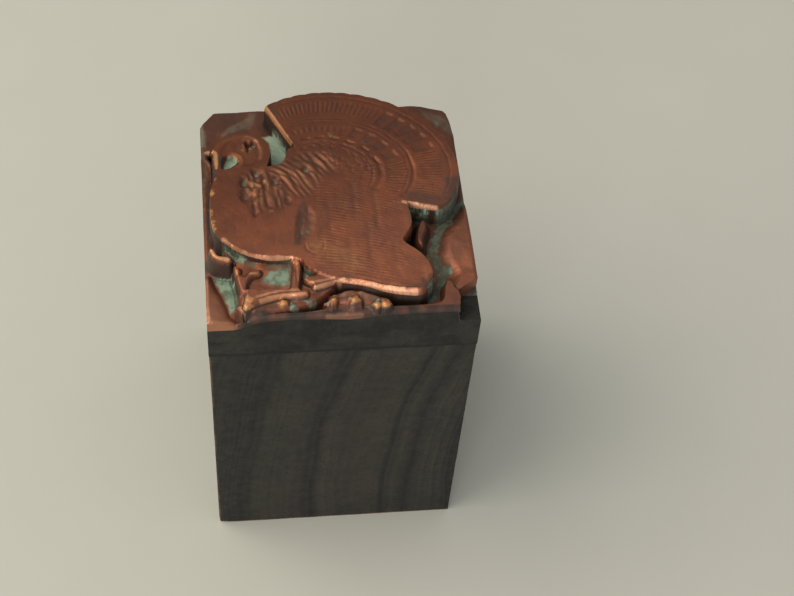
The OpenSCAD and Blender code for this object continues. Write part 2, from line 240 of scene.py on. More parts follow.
@dataclass
class Relief:
    """Heights and stains over a grid of places in plan, and the tools that shape them.

    Args:
        x: places across, in mm.
        y: places in depth, in mm.

    `sides` is 1 on the sides of the soft forms, which get painted shade.
    """

    x: Array
    y: Array
    z: Array = field(init=False)
    stains: dict[Stain, Array] = field(init=False)
    sides: Array = field(init=False)

    def __post_init__(self) -> None:
        """Starts from the blank floor, unstained."""
        self.z = np.full(self.x.shape, BLANK_Z)
        self.stains = {stain: np.zeros(self.x.shape) for stain in Stain}
        self.stains[Stain.LEVEL] += 1
        self.sides = np.zeros(self.x.shape)

    def noise(self, pitch: float, seed: int) -> Array:
        """Makes noise from -1 to 1 at every place, with lumps of pitch mm."""
        return value_noise(self.x, self.y, pitch, seed)

    def near(self, points: Array, reach: float) -> tuple[Array, ...]:
        """Finds the places in the box round some points, made wider by reach mm."""
        low, high = points.min(0) - reach, points.max(0) + reach
        return np.nonzero((self.x > low[0]) & (self.x < high[0]) & (self.y > low[1]) & (self.y < high[1]))

    def away(self, points: Array, at: tuple[Array, ...], closed: bool = False) -> tuple[Array, Array]:
        """Measures from a line.

        Args:
            points: the line.
            at: which places.
            closed: whether the line joins up.

        Returns:
            The distance in mm, and how far along the line the nearest point lies, from 0 to 1.
        """
        x, y = self.x[at], self.y[at]
        best, along = np.full(x.shape, 1e9), np.zeros(x.shape)
        p = np.concatenate([points, points[:1]]) if closed else points
        lengths = np.hypot(*np.diff(p, axis=0).T)
        total, done = lengths.sum(), 0.0
        for a, b, length in zip(p[:-1], p[1:], lengths):
            d = b - a
            t = np.clip(((x - a[0]) * d[0] + (y - a[1]) * d[1]) / max(length**2, 1e-9), 0, 1)
            r = np.hypot(x - a[0] - t * d[0], y - a[1] - t * d[1])
            closer = r < best
            best = np.where(closer, r, best)
            along = np.where(closer, (done + t * length) / total, along)
            done += length
        return best, along

    def within(self, points: Array, at: tuple[Array, ...]) -> Array:
        """Measures the distance to a closed outline in mm, above 0 inside it."""
        return measured(points, self.x[at], self.y[at])[0]

    def around(self, outline: Array, reach: float) -> tuple[tuple[Array, ...], Array]:
        """Finds the places inside an outline and up to reach mm beside it, and their distance to it."""
        at = self.near(outline, reach)
        return at, self.within(outline, at)

    def everywhere(self, points: Array) -> Array:
        """Measures the distance to a closed outline at every place, above 0 inside it."""
        return measured(points, self.x, self.y)[0]

    def raise_to(self, at: tuple[Array, ...], height: Array) -> None:
        """Lifts places that are lower than a height up to it."""
        self.z[at] = np.maximum(self.z[at], height)

    def mesa(self, outline: Array, front: tuple[float, float]) -> Array:
        """Raises a flat form to the printing face: bevelled where its edge faces the front, and steep elsewhere.

        Args:
            outline: its face, closed.
            front: how far the front bevels lean out at the left and at the right, in mm.

        Returns:
            The distance of every place to the outline.
        """
        d, facing, _, _ = measured(outline, self.x, self.y)
        lean = bevel_lean(facing, self.x, front)
        drop = BEVEL_FALL * np.clip(-d / lean, 0, 1)
        drop += (FACE_Z - BLANK_Z - BEVEL_FALL) * np.clip((-d - lean) / FOOT_LEAN, 0, 1)
        wins = (d > -lean - FOOT_LEAN) & (FACE_Z - drop > self.z)
        self.z = np.where(wins, FACE_Z - drop, self.z)
        level = np.where(wins, 1, self.stains[Stain.LEVEL])
        # walls below the shown part of the bevel, and a strip of floor at their foot, get a level below 0 and so
        # painted shade in the finish
        wall = (d > -lean - FOOT_LEAN - FOOT_SHADE_REACH) & (d < 0)
        shown = BEVEL_FALL * np.interp(self.x, *BEVEL_SHOWN) + 0.03
        self.stains[Stain.LEVEL] = np.where(wall, np.minimum(level, self.z - FACE_Z + shown), level)
        return d

    def swell(self, outline: Array, top: float, wall: float) -> None:
        """Raises a soft rounded form over what is there, its sides easing out over wall mm.

        Args:
            outline: its closed outline, in mm.
            top: height of its face, in mm.
            wall: how far its sides lean out, in mm.
        """
        at, d = self.around(outline, wall + 0.05)
        w = ramp(d, -wall, 0.12)
        rise = np.maximum(top - self.z[at], 0)
        self.z[at] += rise * w
        # the form's sides are marked for painted shade, all but a band under its top
        side = ramp(top - self.z[at], 0.08, 0.3) * ramp(w, 0.0, 0.1) * ramp(rise, 0.2, 0.3)
        self.sides[at] = np.maximum(self.sides[at] * ((w <= 0) | (rise <= 0)), side)
        level = self.stains[Stain.LEVEL]
        level[at] = np.where((w > 0) & (rise > 0.2), np.maximum(self.z[at] - top + UNSHADED_SIDE, -0.05), level[at])

    def bar(self, points: Array, width: float, top: float, wall: float = 0.15) -> None:
        """Raises a standing bar along a line: its sides fall in a bevel first, then steeply.

        Args:
            points: its middle line.
            width: width of its face, in mm.
            top: height of its face, in mm.
            wall: how far the walls lean out, in mm.
        """
        at = self.near(points, width / 2 + wall + 0.05)
        d = width / 2 - self.away(points, at)[0]
        fall = 1.7 * np.clip(-d, 0, 0.6 * wall) + (top - BLANK_Z - 1.02 * wall) * ramp(-d, 0.55 * wall, wall)
        self.raise_to(at, top - fall - BAR_DROP * (1 - ramp(d, 0, BAR_CREST)))

    def stroke(self, points: Array, width: float, rise: float, taper: float) -> None:
        """Adds a rounded ridge along a line, or with a rise below 0 a groove.

        Args:
            points: its middle line.
            width: its width, in mm.
            rise: its height before wear, in mm.
            taper: share of its length over which each end fades.
        """
        at = self.near(points, width)
        d, t = self.away(points, at)
        w = np.clip(1 - (2 * d / width) ** 2, 0, 1) * between(t, 0, 1, taper)
        self.z[at] += STROKE_LEFT * rise * w
        # grooves get old ink and painted shade, ridges rubbed gold and painted sheen
        stain, per_mm = (Stain.GRIME, GROOVE_INK_AND_SHADE) if rise < 0 else (Stain.GOLD, RIDGE_GOLD_AND_SHEEN)
        layer = self.stains[stain]
        layer[at] = np.maximum(layer[at], np.minimum(per_mm * abs(rise), 0.8) * w)

    def strokes(self, table: Sequence[tuple[Points, float, float]], taper: float, wider: float = 1.0,
                flatter: float = 1.0) -> None:
        """Adds the ridges and grooves of a table of points, width and rise."""
        for points, width, rise in table:
            self.stroke(smooth_curve(points), wider * width, flatter * rise, taper)

    def pit(self, place: Sequence[float], radii: Sequence[float], depth: float, green: float) -> None:
        """Sinks a round pit to a depth below the face, with an amount of verdigris in it and painted shade round its
        rim.

        Args:
            place: its middle, in mm.
            radii: its half width and half depth in plan, in mm.
            depth: how far its floor lies below the face, in mm.
            green: how much verdigris is in it.
        """
        d = np.hypot((self.x - place[0]) / radii[0], (self.y - place[1]) / radii[1])
        d = d * (1 + 0.3 * self.noise(0.22, 5))
        w = 1 - ramp(d, 0.25, 1.3)
        self.z = self.z * (1 - w) + np.minimum(self.z, FACE_Z - depth) * w
        low = np.hypot((self.x - place[0] - 0.02) / radii[0], (self.y - place[1] + 0.03) / radii[1])
        self.add(Stain.VERDIGRIS, 0.7 * green * (1 - ramp(low * (1 + 0.4 * self.noise(0.16, 8)), 0.1, 1.4)))
        # painted shade on the pit's rim, heavier to the upper left
        self.add(Stain.GRIME, 0.45 * (1 - ramp(d, 0.8, 1.5)) * ramp(low, 0.5, 0.9))

    def bump(self, place: Sequence[float], radius: float, rise: float, top: float | None = None) -> None:
        """Adds a round lump, on what is there or standing up to a height.

        Args:
            place: its middle, in mm.
            radius: its radius, in mm.
            rise: its height, in mm.
            top: height of its top, in mm, or None for a lump on what is there.
        """
        d = np.hypot(self.x - place[0], self.y - place[1]) * (1 + 0.4 * self.noise(0.2, 6))
        w = np.clip(1 - (d / radius) ** 2, 0, 1) ** 0.7
        if top is None:
            self.z += rise * w
        else:
            self.z = np.where(w > 0, np.maximum(self.z, top - rise * (1 - w)), self.z)

    def engrave(self, phase: Array, strength: Array, cut: float) -> None:
        """Engraves fine lines.

        Args:
            phase: counts the lines, one for each whole number.
            strength: how strongly they show at each place, from 0 to 1.
            cut: how deep they are cut, in mm.
        """
        stronger = strength > self.stains[Stain.LINES]
        self.stains[Stain.PHASE] = np.where(stronger, phase, self.stains[Stain.PHASE])
        self.stains[Stain.LINES] = np.where(stronger, strength, self.stains[Stain.LINES])
        self.z -= cut * np.clip(strength, 0, 1) * (0.5 - 0.5 * np.cos(2 * np.pi * phase))

    def add(self, stain: Stain, amount: Array) -> None:
        """Stains every place by at least an amount."""
        np.maximum(self.stains[stain], amount, out=self.stains[stain])

    def patch(self, stain: Stain, outline: Array, amount: float, soft: float) -> None:
        """Stains the inside of an outline, with a soft edge.

        Args:
            stain: what lies there.
            outline: the patch's closed outline, in mm.
            amount: how much, from 0 to 1.
            soft: how far the edge fades to each side, in mm.
        """
        at, d = self.around(outline, soft)
        layer = self.stains[stain]
        layer[at] = np.maximum(layer[at], amount * ramp(d, -soft, soft))

    def streak(self, stain: Stain, points: Array, width: float, amount: float) -> None:
        """Stains along a line.

        Args:
            stain: what lies there.
            points: the line's points, in mm.
            width: how far the streak reaches, in mm.
            amount: how much, from 0 to 1.
        """
        at = self.near(points, width)
        layer = self.stains[stain]
        d = self.away(points, at)[0] * (1 + 0.45 * self.noise(0.22, 7)[at])
        layer[at] = np.maximum(layer[at], amount * (1 - ramp(d, 0.3 * width, width)))

    def dot(self, stain: Stain, place: Sequence[float], radius: float, amount: float) -> None:
        """Stains a round spot."""
        d = np.hypot(self.x - place[0], self.y - place[1]) * (1 + 0.5 * self.noise(0.15, 10))
        self.add(stain, amount * (1 - ramp(d, 0.4 * radius, radius)))


# ---------------------------------------------------------------- the picture


@dataclass(frozen=True)
class FanShape:
    """The raised tail: part of an ellipse, with its feathers running from a root.

    Angles are in degrees from the right, and a share is the part of the way from root to rim.
    """

    root: tuple[float, float] = (-1.0, 1.3)
    middle: tuple[float, float] = (0.8, 2.4)
    long_half: float = 6.45
    short_half: float = 5.05
    tilt: float = -20.0
    first: float = -18.5
    last: float = 116.0
    lower_edge: tuple[tuple[float, float], ...] = ((3.6, -0.7), (5.6, -1.2))
    scallops: int = 17
    scallop_depth: float = 0.05

    def reach(self, angle: Array) -> Array:
        """Gives the distance from root to rim at each angle.

        Args:
            angle: angles in degrees.

        Returns:
            The distances in mm.
        """
        tilt = math.radians(self.tilt)
        cos, sin = math.cos(tilt), math.sin(tilt)
        back = np.array([self.root[0] - self.middle[0], self.root[1] - self.middle[1]])
        s = (back[0] * cos + back[1] * sin, back[1] * cos - back[0] * sin)
        a = np.radians(angle)
        u, v = np.cos(a) * cos + np.sin(a) * sin, np.sin(a) * cos - np.cos(a) * sin
        qa = (u / self.long_half) ** 2 + (v / self.short_half) ** 2
        qb = s[0] * u / self.long_half**2 + s[1] * v / self.short_half**2
        qc = (s[0] / self.long_half) ** 2 + (s[1] / self.short_half) ** 2 - 1
        return (-qb + np.sqrt(qb * qb - qa * qc)) / qa

    def outline(self) -> Array:
        """Gives the fan's closed outline, scalloped along the rim.

        Returns:
            The outline's points, one row each.
        """
        angle = np.linspace(self.first, self.last, 6 * self.scallops + 1)
        turn = self.scallops * (angle - self.first) / (self.last - self.first)
        r = self.reach(angle) - self.scallop_depth * (1 - np.abs(np.sin(np.pi * turn)))
        a = np.radians(angle)
        rim = np.stack([self.root[0] + r * np.cos(a), self.root[1] + r * np.sin(a)], -1)
        return np.concatenate([np.array([self.root, *self.lower_edge]), rim])

    def polar(self, x: Array, y: Array) -> tuple[Array, Array]:
        """Gives each place's angle and share.

        Args:
            x: the places' x, in mm.
            y: the places' y.

        Returns:
            The angles in degrees, and the shares.
        """
        across, up = x - self.root[0], y - self.root[1]
        angle = np.degrees(np.arctan2(up, across))
        return angle, np.hypot(across, up) / self.reach(angle)


@dataclass(frozen=True)
class CellRow:
    """A row of sunk cells between two feathers' bands.

    Args:
        share: inner and outer end of the cells.
        angle: first and last angle of the row.
        pitch: angle from one cell to the next.
        gap: part of the pitch that is sunk.
        depth: how deep, in mm.
    """

    share: tuple[float, float]
    angle: tuple[float, float]
    pitch: float
    gap: float
    depth: float


# the fan's rows of cells, from the rim to the root
CELL_ROWS = (
    CellRow((0.745, 0.895), (48, 113), 2.9, 0.42, 0.045),
    CellRow((0.72, 0.90), (13, 48), 7.0, 0.62, 0.09),
    CellRow((0.515, 0.60), (60, 112), 5.6, 0.5, 0.04),
    CellRow((0.50, 0.625), (12, 60), 11.3, 0.62, 0.08),
    CellRow((0.435, 0.475), (8, 110), 16.5, 0.62, 0.14),
    CellRow((0.33, 0.375), (25, 115), 15.0, 0.6, 0.07),
)
# share, half width in share, rise in mm of the rings between the rows
FAN_RINGS = (
    (0.968, 0.016, 0.02), (0.942, 0.012, -0.05), (0.915, 0.012, 0.02), (0.70, 0.009, 0.025), (0.683, 0.009, -0.04),
    (0.665, 0.009, 0.025), (0.645, 0.009, -0.035), (0.63, 0.008, 0.02), (0.49, 0.009, 0.03), (0.425, 0.009, 0.03),
    (0.40, 0.011, -0.045), (0.385, 0.008, 0.02), (0.31, 0.011, 0.03), (0.285, 0.012, -0.04), (0.255, 0.012, 0.03),
)
# share from, share to, angle from, angle to, pitch, rise of the fine quill lines
QUILLS = ((0.70, 0.9, -20, 13, 1.75, 0.02), (0.48, 0.66, -20, 12, 2.4, 0.018), (0.2, 0.44, -14, 20, 4.5, 0.012))

# outlines and lines in mm; a place under the face is read where it shows on the face plane, and moved by seen_at
BODY = ((3.9, -0.8), (3.5, 0.8), (1.5, 2.8), (-1, 3.4), (-2.4, 3.4), (-2.7, 2.5), (-3.7, 2.1), (-5, 2.2),
        (-6.2, 1.9), (-6.8, 1), (-6.95, -0.4), (-6.9, -1.8), (-6.5, -2.8), (-5.4, -3.75), (-4.2, -4.2), (-3, -4.3),
        (-2.2, -4.5), (-1.9, -5.02), (-1.0, -5.6), (-0.5, -5.85), (0.4, -5.98), (1.2, -6.18), (2, -6.47), (3, -6.7),
        (3.9, -6.8), (4.2, -6.78), (4.55, -6.42), (4.84, -5.9), (4.74, -5.2), (4.45, -4.6), (4.05, -4.15), (3.6, -3.72),
        (3.46, -3.4), (3.75, -2.9), (4.05, -2.2))
HEAD = ((-4, 1.6), (-3.6, 2.5), (-3.5, 3.4), (-3.9, 4.2), (-4.6, 4.6), (-5.4, 4.6), (-6.1, 4.3), (-6.6, 3.7),
        (-6.75, 3), (-6.65, 2), (-6.1, 1.3), (-5, 1.2))
WING = ((-1.5, 0.9), (0.3, 1.2), (2.0, 0.6), (3.8, -0.4), (4.1, -1.4), (3.9, -2.8), (3.6, -3.5), (4.3, -4.4),
        (4.75, -5.4), (4.6, -6.2), (4.0, -6.7), (2.4, -6.5), (0.5, -6.0), (-0.8, -5.6), (-1.8, -4.9), (-1.6, -3.9),
        (-1.3, -2.5), (-1.4, -0.8))
# raised ground at the front side, given where it lies
RIM = ((-5.3, -8.3), (-5.2, -7.42), (-4, -7.44), (-3, -7.42), (-1.5, -7.42), (-1, -7.2), (-0.6, -6.95), (0.4, -6.8),
       (1.4, -6.9), (2.1, -7.1), (2.5, -7.3), (3.1, -7.32), (4.2, -7.3), (5.0, -7.2), (5.35, -6.9), (5.5, -6.1),
       (5.75, -5.75), (6.1, -6.2), (6.15, -8.3))
# mound under the clumps, low ground under the bird, hollow under its breast, and the two banks of blank copper
MOUND = ((-1.0, -7.6), (-0.9, -7.0), (-0.3, -6.6), (0.5, -6.45), (1.4, -6.7), (2.1, -7.1), (2.5, -7.4), (2.3, -7.72),
         (1.0, -7.78), (-0.5, -7.7))
LOW_GROUND = ((-5.75, -4.5), (-5.4, -3.8), (-4, -4.2), (-2.9, -4.2), (-2, -4.5), (-0.6, -5.5), (0.1, -6.0),
              (-0.9, -6.9), (-1.9, -7.5), (-3, -7.75), (-5.3, -8.0), (-5.65, -7.7), (-5.7, -6.2), (-5.9, -5.2))
BREAST_PIT = ((-6.5, -2.9), (-5.9, -3.1), (-5.1, -3.9), (-5.2, -4.9), (-5.8, -4.7), (-6.3, -4.2))
BANK = ((7.4, -0.6), (6.7, -1.4), (6.05, -2.3), (5.55, -3.0), (5.35, -3.7), (5.3, -4.6), (5.5, -5.4), (5.75, -6.0),
        (5.45, -6.5), (5.3, -7.1), (5.1, -7.7), (3.4, -7.8), (2.9, -8.3), (3.0, -9.5), (9, -9.5), (9, -0.6))
SLOPE = ((-9, -5.0), (-7.15, -5.2), (-6.95, -5.9), (-6.6, -6.6), (-6.35, -7.3), (-6.2, -7.9), (-5.9, -8.2),
         (-5.6, -9.5), (-9, -9.5))
# hole under the beak
THROAT = ((-6.2, 2.05), (-6.28, 2.5), (-6.08, 3.0), (-5.7, 3.06), (-5.38, 2.75), (-5.45, 2.4), (-5.8, 2.08))

# points, width, rise: below 0 a groove
NECK_STROKES = (
    (((-3.75, 1.9), (-3.2, 1.85), (-2.85, 1.55), (-2.6, 1.1), (-2.35, 0.65), (-2.12, 0.2)), 0.32, 0.13),
    (((-3.0, 2.1), (-2.5, 2.02), (-2.18, 1.7), (-1.95, 1.25), (-1.72, 0.8), (-1.58, 0.35)), 0.28, 0.12),
    (((-2.3, 2.2), (-2.0, 1.9), (-1.75, 1.45), (-1.5, 1.0), (-1.32, 0.5), (-1.2, 0.1)), 0.26, 0.09),
    (((-2.35, 2.35), (-1.75, 2.32), (-1.3, 2.1), (-1.15, 1.7), (-1.05, 1.2), (-0.95, 0.5)), 0.28, 0.10),
    (((-1.6, 2.72), (-1.1, 2.66), (-0.7, 2.35), (-0.45, 1.9), (-0.3, 1.4)), 0.26, 0.09),
    (((-0.9, 3.0), (-0.35, 2.75), (0.05, 2.3), (0.25, 1.8)), 0.24, 0.06),
    (((-3.85, 1.45), (-3.72, 1.1), (-3.68, 0.7), (-3.5, 0.3), (-3.35, -0.2)), 0.24, 0.09),
    (((-3.6, 0.4), (-3.2, 0.55), (-2.95, 0.2), (-2.9, -0.2)), 0.2, 0.06),
    (((-3.0, 1.95), (-2.6, 1.65), (-2.3, 1.15), (-2.05, 0.65), (-1.8, 0.15)), 0.22, -0.2),
    (((-2.35, 2.1), (-2.05, 1.7), (-1.8, 1.15), (-1.55, 0.7), (-1.3, 0.2)), 0.2, -0.18),
    (((-3.4, 1.75), (-3.05, 1.5), (-2.85, 1.1), (-2.7, 0.7)), 0.18, -0.15),
    (((-1.5, 2.5), (-1.1, 2.38), (-0.82, 2.05), (-0.7, 1.75)), 0.22, -0.2),
    (((-0.95, 2.85), (-0.5, 2.55), (-0.2, 2.1)), 0.15, -0.11),
    (((-3.95, 1.2), (-3.9, 0.75), (-3.8, 0.3)), 0.17, -0.15),
    (((-3.85, -0.1), (-3.82, -0.5), (-3.7, -0.9)), 0.2, -0.15),
    (((-3.1, 0.5), (-3.15, 0.0), (-3.25, -0.5), (-3.1, -0.95)), 0.18, -0.14),
    (((-4.55, -0.4), (-4.55, -0.9), (-4.45, -1.1)), 0.26, -0.2),
    (((-2.75, 0.0), (-2.65, -0.45), (-2.7, -0.8)), 0.28, -0.18),
    (((-3.55, 2.05), (-2.9, 2.35), (-2.45, 2.8)), 0.14, -0.06),
    (((-6.95, -1.1), (-6.88, -1.6), (-6.85, -2.2)), 0.26, 0.1),
)
NECK = ((-5.4, 1.2), (-4.6, 1.9), (-3.6, 2.1), (-2.9, 2.5), (-2.2, 3.0), (-1.2, 3.2), (-0.3, 3.0), (0.3, 2.2),
        (0.2, 1.5), (-0.5, 1.1), (-0.9, 0.3), (-1.4, -0.2), (-2.3, -0.5), (-2.8, -1.0), (-3.6, -1.2), (-4.6, -1.3),
        (-5.0, -0.6), (-5.4, 0.2))
# place, radii, depth, verdigris
NECK_PITS = (
    ((-5.03, 1.0), (0.26, 0.36), 0.2, 0.8), ((-4.34, 1.63), (0.27, 0.3), 0.2, 0.9),
    ((-3.28, 1.08), (0.27, 0.32), 0.2, 0.9), ((-4.02, 1.0), (0.16, 0.18), 0.17, 0.3),
    ((-1.54, 1.8), (0.27, 0.26), 0.2, 0.85), ((-5.0, 0.1), (0.3, 0.55), 0.18, 0.55),
    ((-2.68, -0.4), (0.2, 0.35), 0.14, 0.2), ((-4.5, -1.2), (0.2, 0.3), 0.14, 0.25),
)
# place, radius, rise
LUMPS = (
    ((-4.55, 0.88), 0.2, 0.1), ((-4.25, 0.7), 0.22, 0.12), ((-4.45, 0.25), 0.3, 0.08),
    ((-4.25, -0.3), 0.25, 0.08), ((-3.62, -1.12), 0.16, 0.1), ((-3.05, 0.65), 0.2, 0.06),
    ((-6.8, 0.32), 0.22, 0.12), ((-6.7, 1.4), 0.2, 0.08),
)
# middle, half width, lowest y, highest y and strength of the soft troughs down the wing
WING_TROUGHS = ((0.97, 0.16, -2.2, 0.8, 1.0), (2.12, 0.16, -2.6, 0.5, 1.0), (1.62, 0.18, -4.9, -2.2, 1.0),
                (0.5, 0.18, -5.2, -3.2, 0.9), (2.9, 0.18, -6.0, -3.8, 0.6), (-0.45, 0.15, -3.0, -0.5, 0.6))
# line along the wing's lower edge
WING_HEM = ((0.6, -5.93), (1.4, -6.12), (2.2, -6.42), (3.0, -6.6), (3.9, -6.72))
# groove between breast and wing, the worn hollow in it, and the scroll at its end
GROOVE = ((-1.85, -0.7), (-2.0, -1.4), (-2.12, -2.1), (-2.22, -2.8), (-2.28, -3.4))
HOLLOW = ((-1.6, -0.9), (-2.0, -1.5), (-2.15, -2.4), (-2.3, -3.3), (-1.8, -3.3), (-1.45, -2.6), (-1.3, -1.6))
SCROLL = (
    (((-1.62, -2.15), (-1.3, -2.4), (-1.32, -2.9), (-1.5, -3.2), (-1.72, -3.4), (-1.68, -3.8), (-1.38, -4.0),
      (-1.1, -3.8), (-1.12, -3.5), (-1.3, -3.35)), 0.3, 0.03),
    (((-1.85, -3.35), (-1.88, -3.8), (-1.5, -4.18), (-1.05, -4.05), (-0.88, -3.6), (-0.95, -3.2)), 0.2, -0.03),
)
# brow, cheek and crest; the eye's pits; the snood as it hangs over the beak, and its tip
FACE = (
    (((-6.35, 3.75), (-5.9, 4.15), (-5.3, 4.37), (-4.75, 4.38), (-4.25, 4.15), (-4.05, 3.7), (-4.0, 3.1),
      (-4.15, 2.4)), 0.26, 0.04),
    (((-5.75, 3.25), (-5.35, 3.15), (-5.08, 2.8), (-5.15, 2.4), (-5.5, 2.05)), 0.3, 0.06),
    (((-4.95, 3.95), (-4.9, 3.6), (-5.05, 3.35)), 0.26, 0.05),
)
EYE_PITS = (((-4.75, 3.78), (0.14, 0.28), 0.4, 0.0), ((-4.44, 3.83), (0.24, 0.26), 0.3, 1.0),
            ((-4.66, 3.4), (0.15, 0.2), 0.24, 0.8))
SNOOD = ((-7.18, 3.0), (-7.16, 3.28), (-6.95, 3.38), (-6.68, 3.34), (-6.58, 3.1), (-6.56, 2.6), (-6.5, 2.2),
         (-6.45, 1.95))
SNOOD_TIP = ((-7.12, 2.95), (-7.0, 2.75), (-6.88, 2.5))
# grooves in the bars, the tuft and the leg
SCORES = (((-5.0, -7.0), (-4.0, -6.72), (-3.0, -6.62), (-2.2, -6.66)),
          ((-4.7, -7.3), (-3.8, -6.96), (-2.9, -6.8), (-2.1, -6.8)),
          ((-2.0, -6.3), (-1.2, -6.28), (-0.4, -6.02)), ((-2.52, -4.6), (-2.5, -6.3)))
# outline as read on the face plane, how far its top lies below the face, how far its sides lean out
SHAPES = (
    # hooked stub at the left edge
    (((-7.15, -3.5), (-6.98, -3.38), (-6.78, -3.65), (-6.65, -3.95), (-6.4, -4.05), (-6.1, -4.1), (-5.92, -4.28),
      (-5.98, -4.48), (-6.15, -4.52), (-6.6, -4.42), (-6.92, -4.2), (-7.1, -3.9)), 0.06, 0.22),
    # knob below it
    (((-5.88, -4.72), (-5.68, -4.78), (-5.5, -4.92), (-5.5, -5.15), (-5.66, -5.28), (-5.84, -5.15), (-5.86, -4.95)),
      0.12, 0.12),
    # twig
    (((-5.72, -5.42), (-5.48, -5.38), (-5.28, -5.5), (-5.12, -5.28), (-4.88, -5.1), (-4.5, -5.06), (-4.38, -5.2),
      (-4.52, -5.42), (-4.9, -5.58), (-5.12, -5.92), (-5.2, -6.3), (-5.34, -6.6), (-5.52, -6.5), (-5.66, -6.0)), 0.2,
      0.12),
    # leg, and the bars it stands on
    (((-5.3, -6.35), (-4.9, -6.3), (-4.4, -6.36), (-3.8, -6.36), (-3.3, -6.42), (-2.98, -6.44), (-2.84, -6.2),
      (-2.76, -5.6), (-2.68, -5.0), (-2.78, -4.62), (-2.7, -4.3), (-2.3, -4.3), (-2.2, -4.9), (-2.28, -5.8),
      (-2.38, -6.3), (-2.3, -6.54), (-2.0, -6.56), (-1.92, -6.74), (-2.05, -6.92), (-2.5, -6.97), (-2.9, -6.92),
      (-3.4, -6.96), (-4.0, -7.08), (-4.5, -7.26), (-4.9, -7.42), (-5.15, -7.6), (-5.3, -7.62), (-5.45, -7.5),
      (-5.4, -7.15), (-5.3, -6.8)), 0.1, 0.1),
    # lowest bar
    (((-5.4, -7.5), (-4.95, -7.53), (-4.4, -7.44), (-3.75, -7.3), (-3.62, -7.14), (-3.3, -7.08), (-3.05, -7.22),
      (-3.05, -7.42), (-3.3, -7.5), (-3.9, -7.52), (-4.6, -7.6), (-5.2, -7.66)), 0.42, 0.1),
    # tuft behind the leg
    (((-2.1, -5.72), (-1.0, -5.55), (-0.5, -5.7), (0.1, -5.95), (0.1, -6.05), (-0.5, -6.15), (-1.0, -6.35),
      (-1.5, -6.46), (-1.68, -6.42), (-1.74, -6.2), (-2.05, -6.05)), 0.1, 0.1),
    # tuft under the fan
    (((4.58, -2.15), (4.82, -2.25), (4.82, -2.7), (4.64, -3.15), (4.54, -3.5), (4.52, -3.85), (4.36, -3.92),
      (4.22, -3.7), (4.2, -3.3), (4.3, -2.75)), 0.6, 0.3),
)
# place as read on the face plane, radius, how far the top lies below the face
KNOBS = (((-3.3, -7.32), 0.26, 0.3), ((-5.35, -7.62), 0.3, 0.35), ((-5.15, -7.05), 0.26, 0.08))
CLUMPS = (((-0.6, -7.28), 0.26, 0.42), ((0.5, -7.33), 0.3, 0.4), ((1.66, -7.74), 0.26, 0.42), ((2.1, -7.7), 0.28, 0.4))
# outline as read on the face plane, depth of the surface below the face, amount
VERDIGRIS = (
    (((-3.9, 4.25), (-3.45, 4.35), (-2.9, 4.3), (-2.55, 4.1), (-2.45, 3.6), (-2.5, 3.0), (-2.65, 2.5), (-3.0, 2.05),
      (-3.8, 1.95), (-3.7, 2.6), (-3.5, 3.2), (-3.55, 3.8)), 1.5, 1.0),
    (((-6.4, -3.3), (-5.9, -3.6), (-5.4, -4.1), (-5.1, -4.5), (-5.3, -4.8), (-5.7, -4.6), (-5.85, -4.3), (-6.2, -3.9),
      (-6.5, -3.7)), 0.55, 1.0),
    (((-7.05, -5.3), (-6.75, -6.2), (-6.45, -7.0), (-6.25, -7.6), (-6.15, -8.0), (-5.8, -7.95), (-5.65, -7.2),
      (-5.7, -6.3), (-5.75, -5.4), (-6.3, -5.2)), 1.5, 1.0),
    (((-4.45, -5.8), (-3.95, -5.3), (-3.3, -5.1), (-2.8, -5.1), (-2.8, -6.2), (-3.3, -6.35), (-4.3, -6.15)), 0.5, 0.85),
    (((-2.1, -5.0), (-0.9, -5.65), (-2.1, -5.85)), 0.5, 1.0),
    (((-2.7, -7.05), (-2.0, -7.05), (-2.0, -7.4), (-2.7, -7.5)), 0.5, 0.5),
    (((3.9, -1.05), (4.4, -1.1), (5.0, -1.5), (5.3, -1.75), (4.9, -1.95), (4.5, -1.95), (4.15, -1.65)), 0.8, 0.85),
    (((3.7, -3.45), (4.05, -3.4), (4.2, -3.75), (3.95, -3.95), (3.75, -3.8)), 1.0, 0.7),
    (((6.1, 5.2), (6.4, 5.1), (6.45, 4.7), (6.1, 4.55)), 1.4, 0.6),
    (((6.25, 4.2), (6.5, 4.0), (6.85, 3.35), (6.75, 3.25)), 1.4, 0.75),
)
# the same for tan or olive crust
EARTH = (
    (((-4.6, 6.25), (-4.0, 6.25), (-4.25, 5.4), (-4.4, 4.75), (-5.2, 4.7), (-6.3, 4.2), (-6.3, 4.6), (-5.8, 5.15),
      (-5.2, 5.55), (-4.75, 5.9)), 1.5, 0.58),
    (((-7.45, 6.0), (-7.2, 5.5), (-7.0, 4.4), (-7.05, 3.6), (-7.45, 3.6)), 1.5, 0.8),
    (((-7.45, 3.6), (-7.1, 3.6), (-7.12, 0.5), (-7.45, 0.5)), 1.3, 0.45),
    (((-4.1, -4.75), (-2.7, -4.7), (-2.8, -5.6), (-3.3, -5.6), (-3.6, -5.2), (-4.2, -5.2)), 0.5, 0.75),
    (((-5.3, -4.45), (-4.7, -4.6), (-4.6, -5.0), (-5.2, -5.0)), 0.5, 0.7),
    (((-4.5, -7.5), (-3.6, -7.3), (-3.6, -7.7), (-4.5, -7.75)), 0.5, 0.4),
    (((5.2, 6.1), (6.6, 5.6), (7.3, 4.6), (7.2, 3.4), (6.2, 4.6), (5.4, 5.5)), 1.5, 0.55),
    (((-0.6, -6.7), (1.2, -6.7), (2.2, -7.2), (2.0, -7.6), (-0.8, -7.5)), 0.6, 0.5),
)
